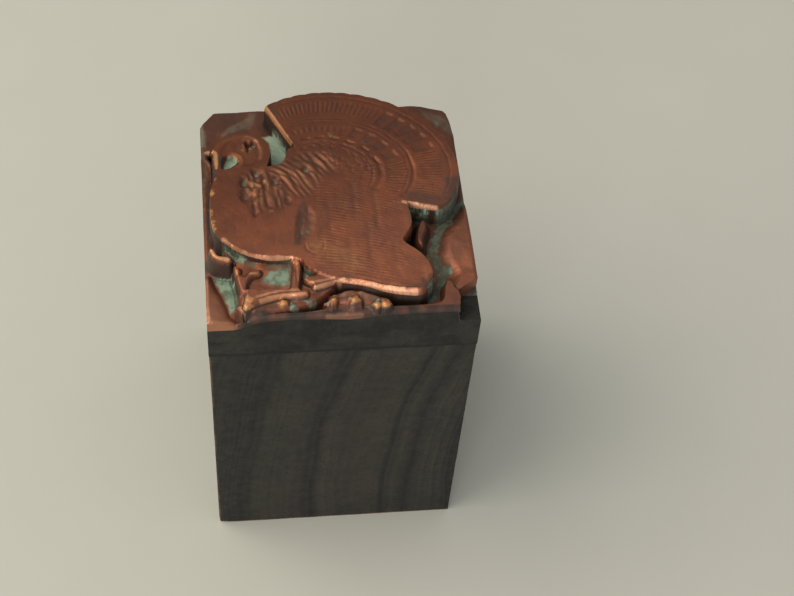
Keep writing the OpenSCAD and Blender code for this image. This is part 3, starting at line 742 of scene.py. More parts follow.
# the same for dark ink and dirt, and for painted shadows beside the forms
INK_DIRT_AND_SHADOWS = (
    (((-7.6, 7.7), (-3.7, 7.7), (-3.75, 6.5), (-4.6, 6.2), (-5.2, 5.5), (-6.3, 4.7), (-7.0, 3.4), (-7.6, 3.4)), 1.5,
      0.6),
    (((4.2, 8.0), (8.0, 7.0), (8.0, 2.5), (7.2, 3.0), (6.3, 4.6), (5.0, 6.2)), 1.5, 0.6),
    (((-4.05, 6.35), (-3.55, 6.45), (-2.8, 4.7), (-3.1, 4.3), (-3.9, 4.4), (-4.3, 5.0)), 1.5, 0.6),
    # painted shadow under the hooked stub
    (((-7.2, -4.7), (-5.9, -4.7), (-5.8, -5.3), (-6.2, -5.6), (-7.1, -5.45)), 1.4, 0.95),
    # painted shadow under the breast's lower edge
    (((-4.2, -4.75), (-2.8, -4.55), (-2.8, -4.95), (-3.6, -5.05), (-4.2, -5.3)), 0.5, 0.55),
    (((4.6, -2.3), (5.6, -1.8), (5.9, -2.2), (5.2, -3.2), (4.7, -3.9), (4.5, -4.4), (4.6, -3.2)), 1.4, 0.75),
    # painted shadow in the gap between the wing and the tuft under the fan
    (((3.7, -3.3), (4.2, -2.1), (4.4, -2.2), (4.1, -3.4)), 1.2, 0.8),
    # painted shadow along the fan's right wall
    (((5.9, -0.4), (7.2, -0.2), (7.1, -1.0), (6.4, -1.7), (5.9, -2.0)), 1.5, 0.8),
    (((2.3, -7.5), (4.2, -7.35), (4.6, -7.7), (3.0, -7.8), (2.9, -8.1), (2.4, -8.1)), 1.2, 0.8),
    (((-7.3, 2.5), (-6.95, 2.5), (-6.9, 1.5), (-7.3, 1.2)), 1.4, 0.8),
    (((3.7, -1.0), (5.6, -1.5), (6.1, -1.9), (5.9, -2.6), (5.3, -3.3), (4.9, -4.4), (4.2, -4.2), (3.7, -3.3)), 1.3,
      0.7),
    (((-5.7, -7.9), (-4.6, -7.85), (-4.5, -8.4), (-5.5, -8.6)), 0.9, 0.75),
    (((-3.6, -7.9), (-3.0, -7.9), (-3.1, -8.2), (-3.5, -8.2)), 0.9, 0.6),
    (((4.5, 6.3), (5.4, 6.2), (5.8, 5.6), (5.3, 5.4)), 1.5, 0.6),
    (((4.7, -6.7), (5.6, -5.95), (6.3, -6.2), (6.3, -8.3), (2.9, -8.3), (3.3, -7.75), (4.6, -7.6)), 0.8, 0.6),
    (((-2.0, -6.9), (0.2, -6.35), (0.4, -6.6), (-0.8, -7.0), (-1.6, -7.4), (-2.6, -7.6), (-3.2, -7.8), (-2.2, -7.9),
      (-0.8, -7.7)), 0.9, 0.7),
)
# lines of painted highlight on rubbed bright metal, as read on the face plane: points, width, amount of gold, of bare
# pink
GLEAMS = (
    (((-3.56, 6.64), (-3.11, 5.69), (-2.69, 4.75), (-2.26, 3.77)), 0.12, 1.0, 0.45),
    (((-7.1, 3.3), (-6.9, 3.36), (-6.62, 3.3), (-6.56, 2.7), (-6.54, 2.1)), 0.14, 0.8, 0.2),
    (((-6.7, 1.4), (-6.68, 1.3)), 0.14, 0.6, 0.1),
    (((-6.35, -2.98), (-5.5, -3.78), (-4.6, -4.22)), 0.13, 0.5, 0.5),
    (((-4.7, -4.2), (-3.86, -4.35), (-3.2, -4.38), (-2.7, -4.4)), 0.15, 0.3, 0.9),
    (((-7.0, -3.66), (-6.78, -4.0), (-6.4, -4.2), (-6.0, -4.3)), 0.12, 0.8, 0.5),
    (((-5.72, -5.12), (-5.6, -5.16)), 0.14, 0.3, 0.2), (((-5.25, -6.9), (-5.15, -7.1)), 0.22, 0.8, 0.2),
    (((-5.5, -7.35), (-5.3, -7.4), (-4.9, -7.4)), 0.14, 0.8, 0.2),
    (((-3.4, -7.08), (-3.2, -7.12)), 0.16, 0.6, 0.2), (((-2.5, -4.5), (-2.42, -4.75)), 0.16, 0.45, 0.2),
    (((-5.0, -5.2), (-4.5, -5.25)), 0.1, 0.2, 0.3),
    (((-4.7, -6.85), (-3.9, -6.62), (-3.2, -6.5), (-2.4, -6.5)), 0.09, 0.3, 0.3),
    (((-4.5, -7.1), (-3.6, -6.84), (-2.8, -6.76), (-2.0, -6.76)), 0.11, 0.35, 0.5),
    (((-1.7, -6.33), (-1.2, -6.26), (-0.5, -6.04), (0.0, -5.97)), 0.1, 0.25, 0.6),
    (((-1.9, -6.05), (-1.2, -5.97), (-0.5, -5.85)), 0.1, 0.2, 0.35),
    (((0.0, -6.15), (0.9, -6.25), (1.6, -6.45), (2.3, -6.72)), 0.2, 0.15, 0.6),
    (((2.2, -6.7), (3.0, -6.9), (3.8, -6.94)), 0.22, 0.0, 1.0),
    (((3.7, -0.84), (4.6, -1.08), (5.2, -1.24), (5.6, -1.34)), 0.14, 0.3, 0.9),
    (((-4.8, 4.4), (-4.35, 4.2), (-4.15, 3.85)), 0.12, 0.2, 0.1), (((-5.5, 2.95), (-5.3, 2.6)), 0.12, 0.4, 0.1),
    (((-4.65, 0.98), (-4.2, 0.75)), 0.16, 0.4, 0.05), (((-3.9, 1.15), (-3.7, 0.8)), 0.14, 0.25, 0.0),
    (((-1.6, -3.6), (-1.2, -3.75), (-1.0, -3.4)), 0.2, 0.25, 0.0),
    (((-1.0, -3.9), (0.2, -4.6), (0.5, -4.9)), 0.9, 0.16, 0.0),
    (((-1.0, -7.72), (0.2, -7.75), (0.9, -7.74)), 0.14, 0.34, 0.15),
    (((-1.9, -7.7), (1.7, -7.72)), 0.13, 0.2, 0.0), (((-7.3, -7.72), (-5.9, -7.72)), 0.14, 0.3, 0.3),
)
# painted shadow behind the front rim, and a line of verdigris along the left edge
BEHIND_RIM = ((-4.7, -7.9), (-3.4, -7.86), (-1.4, -7.98), (0.6, -8.0), (2.4, -7.9), (4.6, -7.85))
LEFT_EDGE = ((-7.25, 5.2), (-7.15, 4.0), (-7.15, 2.5), (-7.15, 1.0), (-7.2, 0.2))
# place as read on the face plane, depth of the surface below the face, radius and amount of single green spots
SPOTS = (
    ((5.65, -5.75), 1.3, 0.35, 0.7), ((4.65, -7.4), 1.4, 0.35, 0.8), ((0.02, 4.05), 0.3, 0.26, 0.5),
    ((-0.98, 4.03), 0.3, 0.22, 0.3), ((1.8, 3.5), 0.3, 0.24, 0.4), ((2.1, 3.25), 0.3, 0.26, 0.25),
    ((2.45, 2.4), 0.3, 0.25, 0.2),
)
# place, radius, amount of gold of the painted glints on the worn left edge
GLINTS = (
    ((-6.84, 0.3), 0.2, 1.0), ((-6.93, -0.98), 0.15, 0.8), ((-6.95, -1.22), 0.12, 0.6),
    ((-6.88, -1.72), 0.16, 0.8), ((-6.84, -1.96), 0.17, 1.0), ((-6.76, -2.22), 0.14, 0.8),
)
# lowest line between the picture and the right bank
VALLEY = ((7.1, -1.0), (6.6, -1.5), (6.1, -2.2), (5.6, -2.9), (5.25, -3.5), (5.05, -4.1), (5.0, -4.7), (5.15, -5.3),
          (5.4, -5.75), (5.3, -6.2), (5.1, -6.7), (4.8, -7.2), (4.4, -7.6))


def big_forms() -> list[tuple[Array, tuple[float, float]]]:
    """Gives the outlines of the fan, the head and the body, with the leans of their front bevels."""
    return [(FanShape().outline(), (0.12, 0.12)), (smooth_curve(HEAD, True, 5), (0.07, 0.07)),
            (smooth_curve(BODY, True, 4), (0.09, 0.15))]


def snapped(x: Array, y: Array, outlines: Sequence[tuple[Array, tuple[float, float]]],
            reach: float) -> tuple[Array, Array]:
    """Moves the grid's places that lie close to a form's edge, or to a fold of its wall, onto it.

    Args:
        x: the grid's x, in mm.
        y: the grid's y.
        outlines: closed outlines and the leans of their front bevels, the most important first.
        reach: how near a place must be to move, in mm.

    Returns:
        The grid's new x and y.
    """
    x, y = x.copy(), y.copy()
    free = np.zeros(x.shape, bool)
    free[1:-1, 1:-1] = True
    for outline, front in outlines:
        low, high = outline.min(0) - 0.4, outline.max(0) + 0.4
        at = np.nonzero(free & (x > low[0]) & (x < high[0]) & (y > low[1]) & (y < high[1]))
        d, facing, to_x, to_y = measured(outline, x[at], y[at])
        lean = bevel_lean(facing, x[at], front)
        for fold in (0 * lean, lean, lean + FOOT_LEAN):
            move = (np.abs(d + fold) < reach) & free[at]
            share = (fold / np.maximum(np.abs(d), 1e-6))[move]
            spots = tuple(axis[move] for axis in at)
            x[spots] = to_x[move] + share * (x[spots] - to_x[move])
            y[spots] = to_y[move] + share * (y[spots] - to_y[move])
            free[spots] = False
    return x, y


@dataclass
class Picture:
    """The picture in the copper: a strutting turkey on a piece of ground.

    Args:
        relief: the heights and stains it is worked into.
        fan: the raised tail.

    `to_fan`, `to_head` and `to_body` are every place's distance to these forms' edges, above 0 inside them. The
    barbs in the fan and the engraved lines of wing and breast are drawn coarser and fewer than the real ones, which
    would be too fine to show.
    """

    relief: Relief
    fan: FanShape = FanShape()
    to_fan: Array = field(init=False)
    to_head: Array = field(init=False)
    to_body: Array = field(init=False)

    def work(self) -> None:
        """Works the picture from the blank floor up to the finest lines."""
        self.blank_floor()
        self.ground()
        self.to_fan, self.to_head, self.to_body = [self.relief.mesa(*form) for form in big_forms()]
        for step in (self.feathers, self.wing, self.breast, self.neck, self.face, self.small_forms, self.verdigris,
                     self.gleams, self.spots, self.grain, self.shade_and_wear):
            step()

    def blank_floor(self) -> None:
        """Routs the blank floor, with banks at the right side and the left front corner."""
        r = self.relief
        r.z += 0.05 * r.noise(1.6, 3) + 0.02 * r.noise(0.6, 4)
        at, d = r.around(smooth_curve(seen_at(BANK, 1.0), True, 4), 0.3)
        bank = 0.6 * ramp(d, -0.35, 0.75) + 0.12 * ramp(d, 0.5, 1.8)
        r.raise_to(at, BLANK_Z - 0.1 + bank + 0.04 * r.noise(0.9, 8)[at])
        at, d = r.around(seen_at(SLOPE, 1.0), 0.3)
        r.raise_to(at, BLANK_Z - 0.05 + 0.5 * np.clip((d + 0.1) / 1.1, 0, 1) ** 0.6)

    def ground(self) -> None:
        """Leaves the ground under the figure: shallow panels, the front rim and the mound."""
        r = self.relief
        for outline, depth, seed in ((LOW_GROUND, 0.5, 11), (BREAST_PIT, 0.55, 12)):
            at, d = r.around(seen_at(outline, depth), 0.3)
            r.raise_to(at, FACE_Z - depth + 0.05 * r.noise(0.5, seed)[at] - 0.95 * (1 - ramp(d, -0.1, 0.1)))
        at, d = r.around(smooth_curve(RIM, True, 4), 0.3)
        r.raise_to(at, BLANK_Z + 0.72 * ramp(d, -0.22, 0.1) * ramp(r.x[at], -6.3, -4.7) + 0.03 * r.noise(0.7, 13)[at])
        at, d = r.around(smooth_curve(seen_at(MOUND, 0.6), True, 4), 0.3)
        r.raise_to(at, BLANK_Z + 0.9 * ramp(d, -0.25, 0.4) + 0.06 * r.noise(0.3, 14)[at])

    def feathers(self) -> None:
        """Cuts the fan's rows of cells, its fine quill lines, its rings, and the scales near its root."""
        r = self.relief
        angle, share = self.fan.polar(r.x, r.y)
        on_fan = ramp(self.to_fan, 0.16, 0.3)
        wobble = 0.006 * r.noise(0.5, 21)
        for row in CELL_ROWS:
            across = np.abs(((angle - row.angle[0]) / row.pitch) % 1.0 - 0.5) * 2
            sunk = (1 - ramp(across, row.gap - 0.32, row.gap + 0.16)) * between(share + wobble, *row.share, 0.028)
            sunk *= between(angle, row.angle[0] - 0.5, row.angle[1] + 0.5, 1.0) * on_fan
            r.z -= 0.7 * row.depth * sunk
            # old ink and painted shade in the cells
            r.add(Stain.GRIME, (0.46 + 0.3 * r.noise(0.5, 22)) * sunk)
        for inner, outer, low, high, pitch, rise in QUILLS:
            w = between(share, inner, outer, 0.03) * on_fan
            w *= ramp(angle, low, low + 2) * (1 - ramp(angle, high - 1, high + 3))
            r.engrave((angle - low) / pitch + 0.3 * r.noise(0.8, 24), 0.8 * w, 0.8 * rise)
        r.engrave(angle / 1.45 + 0.3 * r.noise(0.8, 28), on_fan * ramp(share, 0.9, 0.93) * 0.35, 0.006)
        for ring, half, rise in FAN_RINGS:
            bead = 0.006 * np.abs(np.sin(np.pi * (angle + 20) / 7.0)) if ring > 0.9 else wobble
            w = np.clip(1 - ((share - ring + bead) / half) ** 2, 0, 1) * on_fan * (
                0.75 + 0.25 * r.noise(0.5, int(1000 * ring)))
            # old ink and painted shade in the grooved rings
            if rise < 0:
                r.add(Stain.GRIME, 0.4 * w)
            off_body = ramp(self.to_body, 0.3, -0.4) if ring < 0.3 else 1.0
            r.z += 0.6 * rise * w * ramp(angle, -19, -15) * (1 - ramp(angle, 110, 115)) * off_body
        tips = 0.4 * np.abs(np.sin(np.pi * (angle + 4 * r.noise(0.9, 27)) / 13))
        scales = 2 * np.pi * (share / 0.062 + tips + 0.25 * r.noise(0.6, 25))
        w = on_fan * ramp(share, 0.14, 0.2) * (1 - ramp(share, 0.42, 0.47))
        w *= ramp(angle, -12, 0) * (1 - ramp(angle, 95, 112))
        wave = np.cos(scales) - 0.35 * np.cos(2 * scales)
        r.z += 0.013 * wave * w
        # old ink and painted shade in the scales' troughs
        r.add(Stain.GRIME, 0.42 * w * ramp(-wave, -0.1, 1.0) * (0.6 + 0.4 * r.noise(0.5, 26)))
        for ring, drop in ((0.68, 0.06), (0.455, 0.05)):
            r.z -= drop * np.exp(-(((share - ring) / 0.02) ** 2)) * on_fan * (1 - ramp(angle, 5, 25))

    def wing(self) -> None:
        """Cuts the wing's fine lines, its soft troughs and the line along its lower edge."""
        r = self.relief
        x, y = r.x, r.y
        w = ramp(r.everywhere(smooth_curve(WING, True, 4)), 0.0, 0.4) * ramp(self.to_body, 0.03, 0.12)
        soft = np.zeros(x.shape)
        for middle, half, low, high, strength in WING_TROUGHS:
            bent = (x - middle - 0.06 * r.noise(0.7, 34)) / half
            soft += strength * np.exp(-(bent**2)) * between(y, low - 0.3, high + 0.3, 0.7)
        r.z -= 0.02 * soft * w
        r.add(Stain.GRIME, 0.3 * soft * w)
        across = y + 0.27 * x + 0.018 * (x - 1.0) ** 2 + 0.10 * r.noise(1.4, 31) + 0.03 * r.noise(0.45, 32)
        r.engrave(across / 0.2, 0.8 * w * (0.8 + 0.4 * r.noise(0.9, 33)), 0.012)
        r.stroke(smooth_curve(WING_HEM), 0.13, -0.07, 0.15)

    def breast(self) -> None:
        """Cuts the breast's faint lines, the groove beside the wing and the scroll."""
        r = self.relief
        down = r.x + 0.12 * (r.y + 2) + 0.06 * r.noise(0.9, 42)
        w = ramp(self.to_body, 0.1, 0.4) * ramp(-r.x, 2.2, 2.6) * ramp(-r.y, 0.2, 1.0)
        r.engrave(down / 0.24, 0.22 * w, 0.004)
        groove = smooth_curve(GROOVE)
        r.stroke(groove, 0.5, -0.1, 0.35)
        w = ramp(r.everywhere(smooth_curve(HOLLOW, True, 4)), -0.2, 0.35)
        mottle = r.noise(0.34, 47) + 0.5 * r.noise(0.16, 48)
        r.z -= w * (0.07 + 0.035 * mottle)
        r.streak(Stain.GRIME, groove, 0.34, 0.72)
        r.add(Stain.GRIME, w * (0.34 + 0.3 * mottle))
        r.add(Stain.EARTH, 0.4 * w)
        r.add(Stain.GOLD, 0.35 * w * ramp(-mottle, 0.3, 0.9))
        r.dot(Stain.VERDIGRIS, (-1.76, -2.7), 0.42, 0.75)
        r.strokes(SCROLL, 0.15)

    def neck(self) -> None:
        """Works the neck: a sunk field with soft folds, heavier folds across it, pits and lumps."""
        r = self.relief
        neck = ramp(r.everywhere(smooth_curve(NECK, True, 4)), -0.1, 0.5)
        out = np.hypot(r.x + 4.4, r.y + 0.5) + 0.1 * r.noise(0.7, 43)
        arcs = out / 0.34
        strands = (r.x + 0.12 * r.y + 0.1 * r.noise(0.5, 44)) / 0.4
        side = ramp(r.x + 0.6 * r.y, -2.9, -2.2)
        wave = np.cos(2 * np.pi * arcs) * side + np.cos(2 * np.pi * strands) * (1 - side)
        wave = wave * (0.6 + 0.4 * r.noise(0.6, 45))
        r.z += neck * (0.035 * wave - 0.07)
        # painted shade and old ink in the troughs of the folds, painted sheen on their crests
        r.add(Stain.GRIME, neck * (0.27 + 0.36 * ramp(-wave, 0.0, 0.9)))
        r.add(Stain.GOLD, neck * 0.12 * ramp(wave, 0.2, 0.9))
        r.strokes(NECK_STROKES, 0.45, wider=1.25, flatter=0.55)
        for pit in NECK_PITS:
            r.pit(*pit)
        for place, radius, rise in LUMPS:
            r.bump(place, radius, 0.7 * rise)
            # painted sheen on each lump
            r.dot(Stain.GOLD, place, radius, 0.2)

    def face(self) -> None:
        """Works the head: brow, eye, throat hole and the snood over the beak."""
        r = self.relief
        inner = np.hypot(r.x + 5.0, r.y - 3.5) < 1.3
        r.z -= 0.06 * ramp(self.to_head, 0.3, 0.6) * inner
        r.strokes(FACE, 0.15)
        for pit in EYE_PITS:
            r.pit(*pit)
        r.dot(Stain.GRIME, (-4.72, 3.78), 0.28, 0.9)
        for place, radius, amount in (((-5.85, 3.3), 0.3, 0.3), ((-5.5, 3.62), 0.28, 0.35), ((-5.25, 3.1), 0.2, 0.3)):
            r.dot(Stain.VERDIGRIS, place, radius, amount)
        throat = smooth_curve(THROAT, True, 5)
        at, d = r.around(throat, 0.05)
        w = ramp(d, -0.02, 0.12)
        r.z[at] = r.z[at] * (1 - w) + np.minimum(r.z[at], FACE_Z - 0.5) * w
        r.patch(Stain.VERDIGRIS, throat + np.array([0.12, 0.0]), 1.0, 0.08)
        # painted shadow of the hole's left wall
        r.patch(Stain.GRIME, throat - np.array([0.52, 0.0]), 0.9, 0.12)
        r.bar(smooth_curve(SNOOD), 0.24, FACE_Z - 0.04)
        r.bar(smooth_curve(SNOOD_TIP), 0.2, FACE_Z - 0.15)

    def small_forms(self) -> None:
        """Raises the stub, the twig, the leg, the bars and tufts of the ground, the knobs, clumps and arch."""
        r = self.relief
        for outline, below, wall in SHAPES:
            r.swell(seen_at(smooth_curve(outline, True, 4), below), FACE_Z - below, wall)
        for points in SCORES:
            r.stroke(smooth_curve(points), 0.13, -0.06, 0.2)
        # foot and height of each kind, and the size and strength of the rubbed gold and painted sheen on its top
        for table, foot, rise, bright, gold in ((KNOBS, 1.0, 0.14, 1.1, 0.8), (CLUMPS, 1.6, 0.5, 1.25, 0.85)):
            for place, radius, below in table:
                middle = seen_at((place,), below)[0]
                r.bump(middle, foot * radius, rise, FACE_Z - below)
                r.dot(Stain.GOLD, middle, bright * radius, gold)
        arch = seen_at(((1.45, -7.7), (1.6, -7.48), (1.9, -7.38), (2.2, -7.48), (2.3, -7.7)), 0.45)
        r.bar(smooth_curve(arch, steps=5), 0.14, FACE_Z - 0.45, 0.3)

    def verdigris(self) -> None:
        """Lays verdigris in deep hollows, where nothing rubs it off, and crust, old ink and painted shadows beside it.
        """
        r = self.relief
        depth = FACE_Z - r.z
        green = r.stains[Stain.VERDIGRIS].copy()
        for outline, below, amount in VERDIGRIS:
            r.stains[Stain.VERDIGRIS][:] = 0
            r.patch(Stain.VERDIGRIS, seen_at(outline, below), amount, 0.26)
            green = np.maximum(green, r.stains[Stain.VERDIGRIS] * ramp(depth, 0.35 * below, 0.65 * below))
        r.stains[Stain.VERDIGRIS] = green
        valley = smooth_curve(seen_at(VALLEY, 1.4), steps=4)
        r.streak(Stain.VERDIGRIS, valley, 0.42, 0.7)
        for stain, table in ((Stain.EARTH, EARTH), (Stain.GRIME, INK_DIRT_AND_SHADOWS)):
            for outline, below, amount in table:
                r.patch(stain, seen_at(outline, below), amount, 0.24)
        r.streak(Stain.GRIME, valley, 0.8, 0.85)
        for stain in (Stain.VERDIGRIS, Stain.EARTH):
            r.stains[stain] *= ramp(depth, 0.02, 0.13)
        under_fan = (self.to_fan < -0.1) * ramp(self.to_fan, -0.4, -0.2) * (r.x > 3.4) * (np.abs(r.y + 1.4) < 0.9)
        r.add(Stain.VERDIGRIS, under_fan * (0.5 + 0.4 * r.noise(0.4, 60)))
        # painted shadow behind the front rim
        r.streak(Stain.GRIME, smooth_curve(seen_at(BEHIND_RIM, 0.85)), 0.22, 0.8)

    def gleams(self) -> None:
        """Paints highlights and rubbed bright metal along lines and spots, on what a roller reaches, and on the lip."""
        r = self.relief
        for points, width, gold, bare in GLEAMS:
            line = smooth_curve(points, steps=4)
            r.streak(Stain.GOLD, line, width, gold)
            r.streak(Stain.RUBBED, line, width, bare)
        for place, radius, gold in GLINTS:
            r.dot(Stain.GOLD, place, radius, gold)
        high = ramp(r.z, FACE_Z - 0.58, FACE_Z - 0.4) * (1 - 0.8 * r.sides)
        r.stains[Stain.GOLD] *= high
        r.stains[Stain.RUBBED] *= np.maximum(high, ramp(-r.y, 7.4, 7.5))

    def spots(self) -> None:
        """Dirties the low ground behind the front rim, and adds the left edge's verdigris and single spots."""
        r = self.relief
        low = ramp(-r.y, 6.6, 7.0) * (1 - ramp(-r.y, 7.3, 7.5)) * ramp(r.x, -4.5, -3.5) * (1 - ramp(r.x, 3.2, 4.6))
        low *= ramp(FACE_Z - r.z, 0.3, 0.5)
        r.add(Stain.GRIME, 0.75 * low * (0.65 + 0.5 * r.noise(0.28, 58)))
        r.add(Stain.VERDIGRIS, 0.75 * low * ramp(r.noise(0.33, 59), 0.1, 0.7))
        r.streak(Stain.VERDIGRIS, seen_at(LEFT_EDGE, 1.2), 0.2, 0.35)
        for place, depth, radius, amount in SPOTS:
            r.dot(Stain.VERDIGRIS, seen_at((place,), depth)[0], radius, amount)

    def grain(self) -> None:
        """Adds the slight unevenness of deposited copper, and caps all at the printing face."""
        r = self.relief
        r.z += 0.004 * r.noise(0.12, 51) + 0.01 * r.noise(0.3, 52)
        r.z = np.minimum(r.z, FACE_Z)
        to_side = np.minimum(HALF_W - np.abs(r.x), HALF_D - np.abs(r.y))
        r.z -= 0.1 * (1 - ramp(to_side, 0, 0.16)) + 0.12 * (1 - ramp(r.y + HALF_D, 0, 0.3)) * (r.z > 22.3)

    def shade_and_wear(self) -> None:
        """Paints shade and old ink into hollows and down walls, and rubs the edges that stand out."""
        r = self.relief
        grime, level = r.stains[Stain.GRIME], r.stains[Stain.LEVEL]
        depth = FACE_Z - r.z
        up_y, up_x = np.gradient(r.z, 2 * HALF_D / (r.z.shape[0] - 1), 2 * HALF_W / (r.z.shape[1] - 1))
        slope = np.hypot(up_x, up_y)
        wall = ramp(slope, 0.8, 1.5)
        lit = (0.95 * up_y + 0.3 * up_x) / np.maximum(slope, 1e-6)  # how far a slope faces the front
        # painted shade on walls' feet and on walls turned from the front; old ink and painted shade in the hollows and
        # on the low floor; dirt on the right margin
        for dark in (  # walls' feet, walls turned from the front, narrow and wide hollows, low floor, right margin
            1.15 * wall * ramp(-level, 0, 0.1),
            0.95 * wall * ramp(-lit, -0.3, 0.2),
            0.9 * ramp(blurred(r.z, 5) - r.z, 0.03, 0.2) * ramp(depth, 0.1, 0.4),
            0.6 * ramp(blurred(r.z, 14) - r.z, 0.1, 0.5) * ramp(depth, 0.3, 0.6),
            0.45 * ramp(depth, 0.6, 1.0) * (0.7 + 0.3 * r.noise(0.9, 55)),
            0.42 * ramp(r.x, 5.4, 6.0) * ramp(-r.y, -0.5, 0.5) * (0.75 + 0.5 * r.noise(0.9, 57)),
        ):
            r.add(Stain.GRIME, dark)
        lip = ramp(-r.y, 7.3, 7.5) * ramp(r.x, -5.9, -5.4)
        shine = np.maximum(r.stains[Stain.RUBBED], r.stains[Stain.GOLD])
        left_slope = ramp(r.everywhere(seen_at(SLOPE, 1.0)), 0.0, 0.3)
        r.add(Stain.RUBBED, 0.35 * left_slope)
        # walls that face the front are kept free of the painted shade
        unshaded_front_walls = wall * ramp(lit, 0.3, 0.7) * (level > -0.1)
        unshaded_front_walls *= (1 - 0.8 * lip) * (1 - 0.8 * ramp(r.x, 5.2, 5.8) * (r.y < 0))
        grime *= 1 - 0.9 * np.clip(np.maximum(np.maximum(shine, 0.6 * unshaded_front_walls), 0.75 * left_slope), 0, 1)
        # painted shade on the soft forms' sides
        r.add(Stain.GRIME, r.sides * (1 - 0.5 * np.clip(shine, 0, 1)))
        ink = 1.05 + 0.25 * value_noise(r.x, 1.6 * r.y, 0.5, 56)
        r.add(Stain.GRIME, lip * ink * (1 - 1.2 * np.clip(shine, 0, 0.7)))
        # no verdigris on those shaded sides
        r.stains[Stain.VERDIGRIS] *= 1 - 0.85 * r.sides
        # at the back left the deep verdigris is painted paler and kept clear of the ink stain; the gold stain marks it
        # for the finish
        paled_salt = ramp(r.stains[Stain.VERDIGRIS], 0.3, 0.7) * (r.y > 1.5) * (r.x < 0) * ramp(depth, 0.3, 0.5)
        grime *= 1 - 0.95 * paled_salt
        r.add(Stain.GOLD, 0.6 * paled_salt)


# ---------------------------------------------------------------- finishes


def linear(code: str) -> tuple[float, float, float, float]:
    """Turns an sRGB hex colour into a linear one with full alpha."""
    parts = [int(code.lstrip("#")[i:i + 2], 16) / 255 for i in (0, 2, 4)]
    return tuple(c / 12.92 if c <= 0.04045 else ((c + 0.055) / 1.055) ** 2.4 for c in parts) + (1.0,)


class Kind(Enum):
    """Kinds of node: type after "ShaderNode", settings, the inputs that are given in turn, and the output."""

    PLACE = ("TexCoord", {}, (), "Object")
    SCALED = ("Mapping", {}, ("Vector", "Scale"), 0)
    PARTS = ("SeparateXYZ", {}, (0,), 0)
    ALONG_X = ("CombineXYZ", {}, (0,), 0)
    LAYER = ("Attribute", {"attribute_type": "GEOMETRY"}, (), "Fac")
    NOISE = ("TexNoise", {}, ("Vector", "Scale", "Detail"), 0)
    TIMES = ("Math", {"operation": "MULTIPLY"}, (0, 1), 0)
    OVER = ("Math", {"operation": "DIVIDE"}, (0, 1), 0)
    PLUS = ("Math", {"operation": "ADD"}, (0, 1), 0)
    MINUS = ("Math", {"operation": "SUBTRACT"}, (0, 1), 0)
    LARGER = ("Math", {"operation": "MAXIMUM"}, (0, 1), 0)
    ROOT = ("Math", {"operation": "SQRT"}, (0,), 0)
    COSINE = ("Math", {"operation": "COSINE"}, (0,), 0)
    STEP = ("MapRange", {"interpolation_type": "SMOOTHSTEP"}, (0, 1, 2, 3, 4), 0)
    COLOURS = ("ValToRGB", {}, (0,), 0)
    MIX = ("Mix", {"data_type": "RGBA"}, (0, 6, 7), 2)
    BUMP = ("Bump", {}, ("Height", "Distance", "Normal"), 0)


def feed(tree: bpy.types.NodeTree, into: Socket, value: Any) -> None:
    """Links a socket to an input, or sets the input to a number, a row of numbers or the colour of a hex code.

    Args:
        tree: the material's node tree.
        into: the input.
        value: a socket, a number, a row of numbers or a hex code.
    """
    if isinstance(value, Socket):
        tree.links.new(value, into)
    else:
        into.default_value = linear(value) if isinstance(value, str) else value


def add_node(tree: bpy.types.NodeTree, kind: Kind, *values: Any, **settings: Any) -> Socket:
    """Adds a node with its settings and links.

    Args:
        tree: the material's node tree.
        kind: which node.
        values: what its inputs take in turn: sockets to link, numbers or hex codes.
        settings: more of the node's attributes.

    Returns:
        The output that is used.
    """
    name, usual, inputs, output = kind.value
    node = tree.nodes.new("ShaderNode" + name)
    for key, setting in {**usual, **settings}.items():
        setattr(node, key, setting)
    for key, value in zip(inputs, values):
        feed(tree, node.inputs[key], value)
    return node.outputs[output]


class Paint:
    """A material being built: its tree, its shader and the patterns that the finishes share."""

    def __init__(self, name: str) -> None:
        """Starts a material with one shader, read in Object coordinates measured in millimetres.

        Args:
            name: the real finish that it shows.
        """
        self.material = bpy.data.materials.new(name)
        self.material.use_nodes = True
        self.tree = self.material.node_tree
        self.shader = self.tree.nodes["Principled BSDF"]
        self.place = self.add(Kind.SCALED, self.add(Kind.PLACE), (1 / MM,) * 3)

    def add(self, kind: Kind, *values: Any, **settings: Any) -> Socket:
        """Adds a node to this material and gives its output."""
        return add_node(self.tree, kind, *values, **settings)

    def lumps(self, pitch: float, detail: float, stretch: tuple[float, float, float] = (1, 1, 1)) -> Socket:
        """Makes a pattern of lumps about pitch mm wide, drawn out along an axis by stretch."""
        place = self.add(Kind.SCALED, self.place, tuple(1 / s for s in stretch))
        return self.add(Kind.NOISE, place, 1 / pitch, detail)

    def frayed(self, value: Value, pattern: Socket, size: float) -> Socket:
        """Moves a value up and down with a pattern, by half of size each way."""
        return self.add(Kind.PLUS, value, self.add(Kind.TIMES, self.add(Kind.MINUS, pattern, 0.5), size))

    def tint(self, colour: Colour, towards: Colour, amount: Socket, strength: float) -> Socket:
        """Mixes a colour towards another by an amount, at the most by strength."""
        return self.add(Kind.MIX, self.add(Kind.TIMES, amount, strength), colour, towards)

    def join(self, **inputs: Value) -> bpy.types.Material:
        """Feeds the shader's inputs, named with _ for a space.

        Args:
            inputs: a socket or a number for each input.

        Returns:
            The finished material.
        """
        for name, value in inputs.items():
            feed(self.tree, self.shader.inputs[name.replace("_", " ")], value)
        return self.material


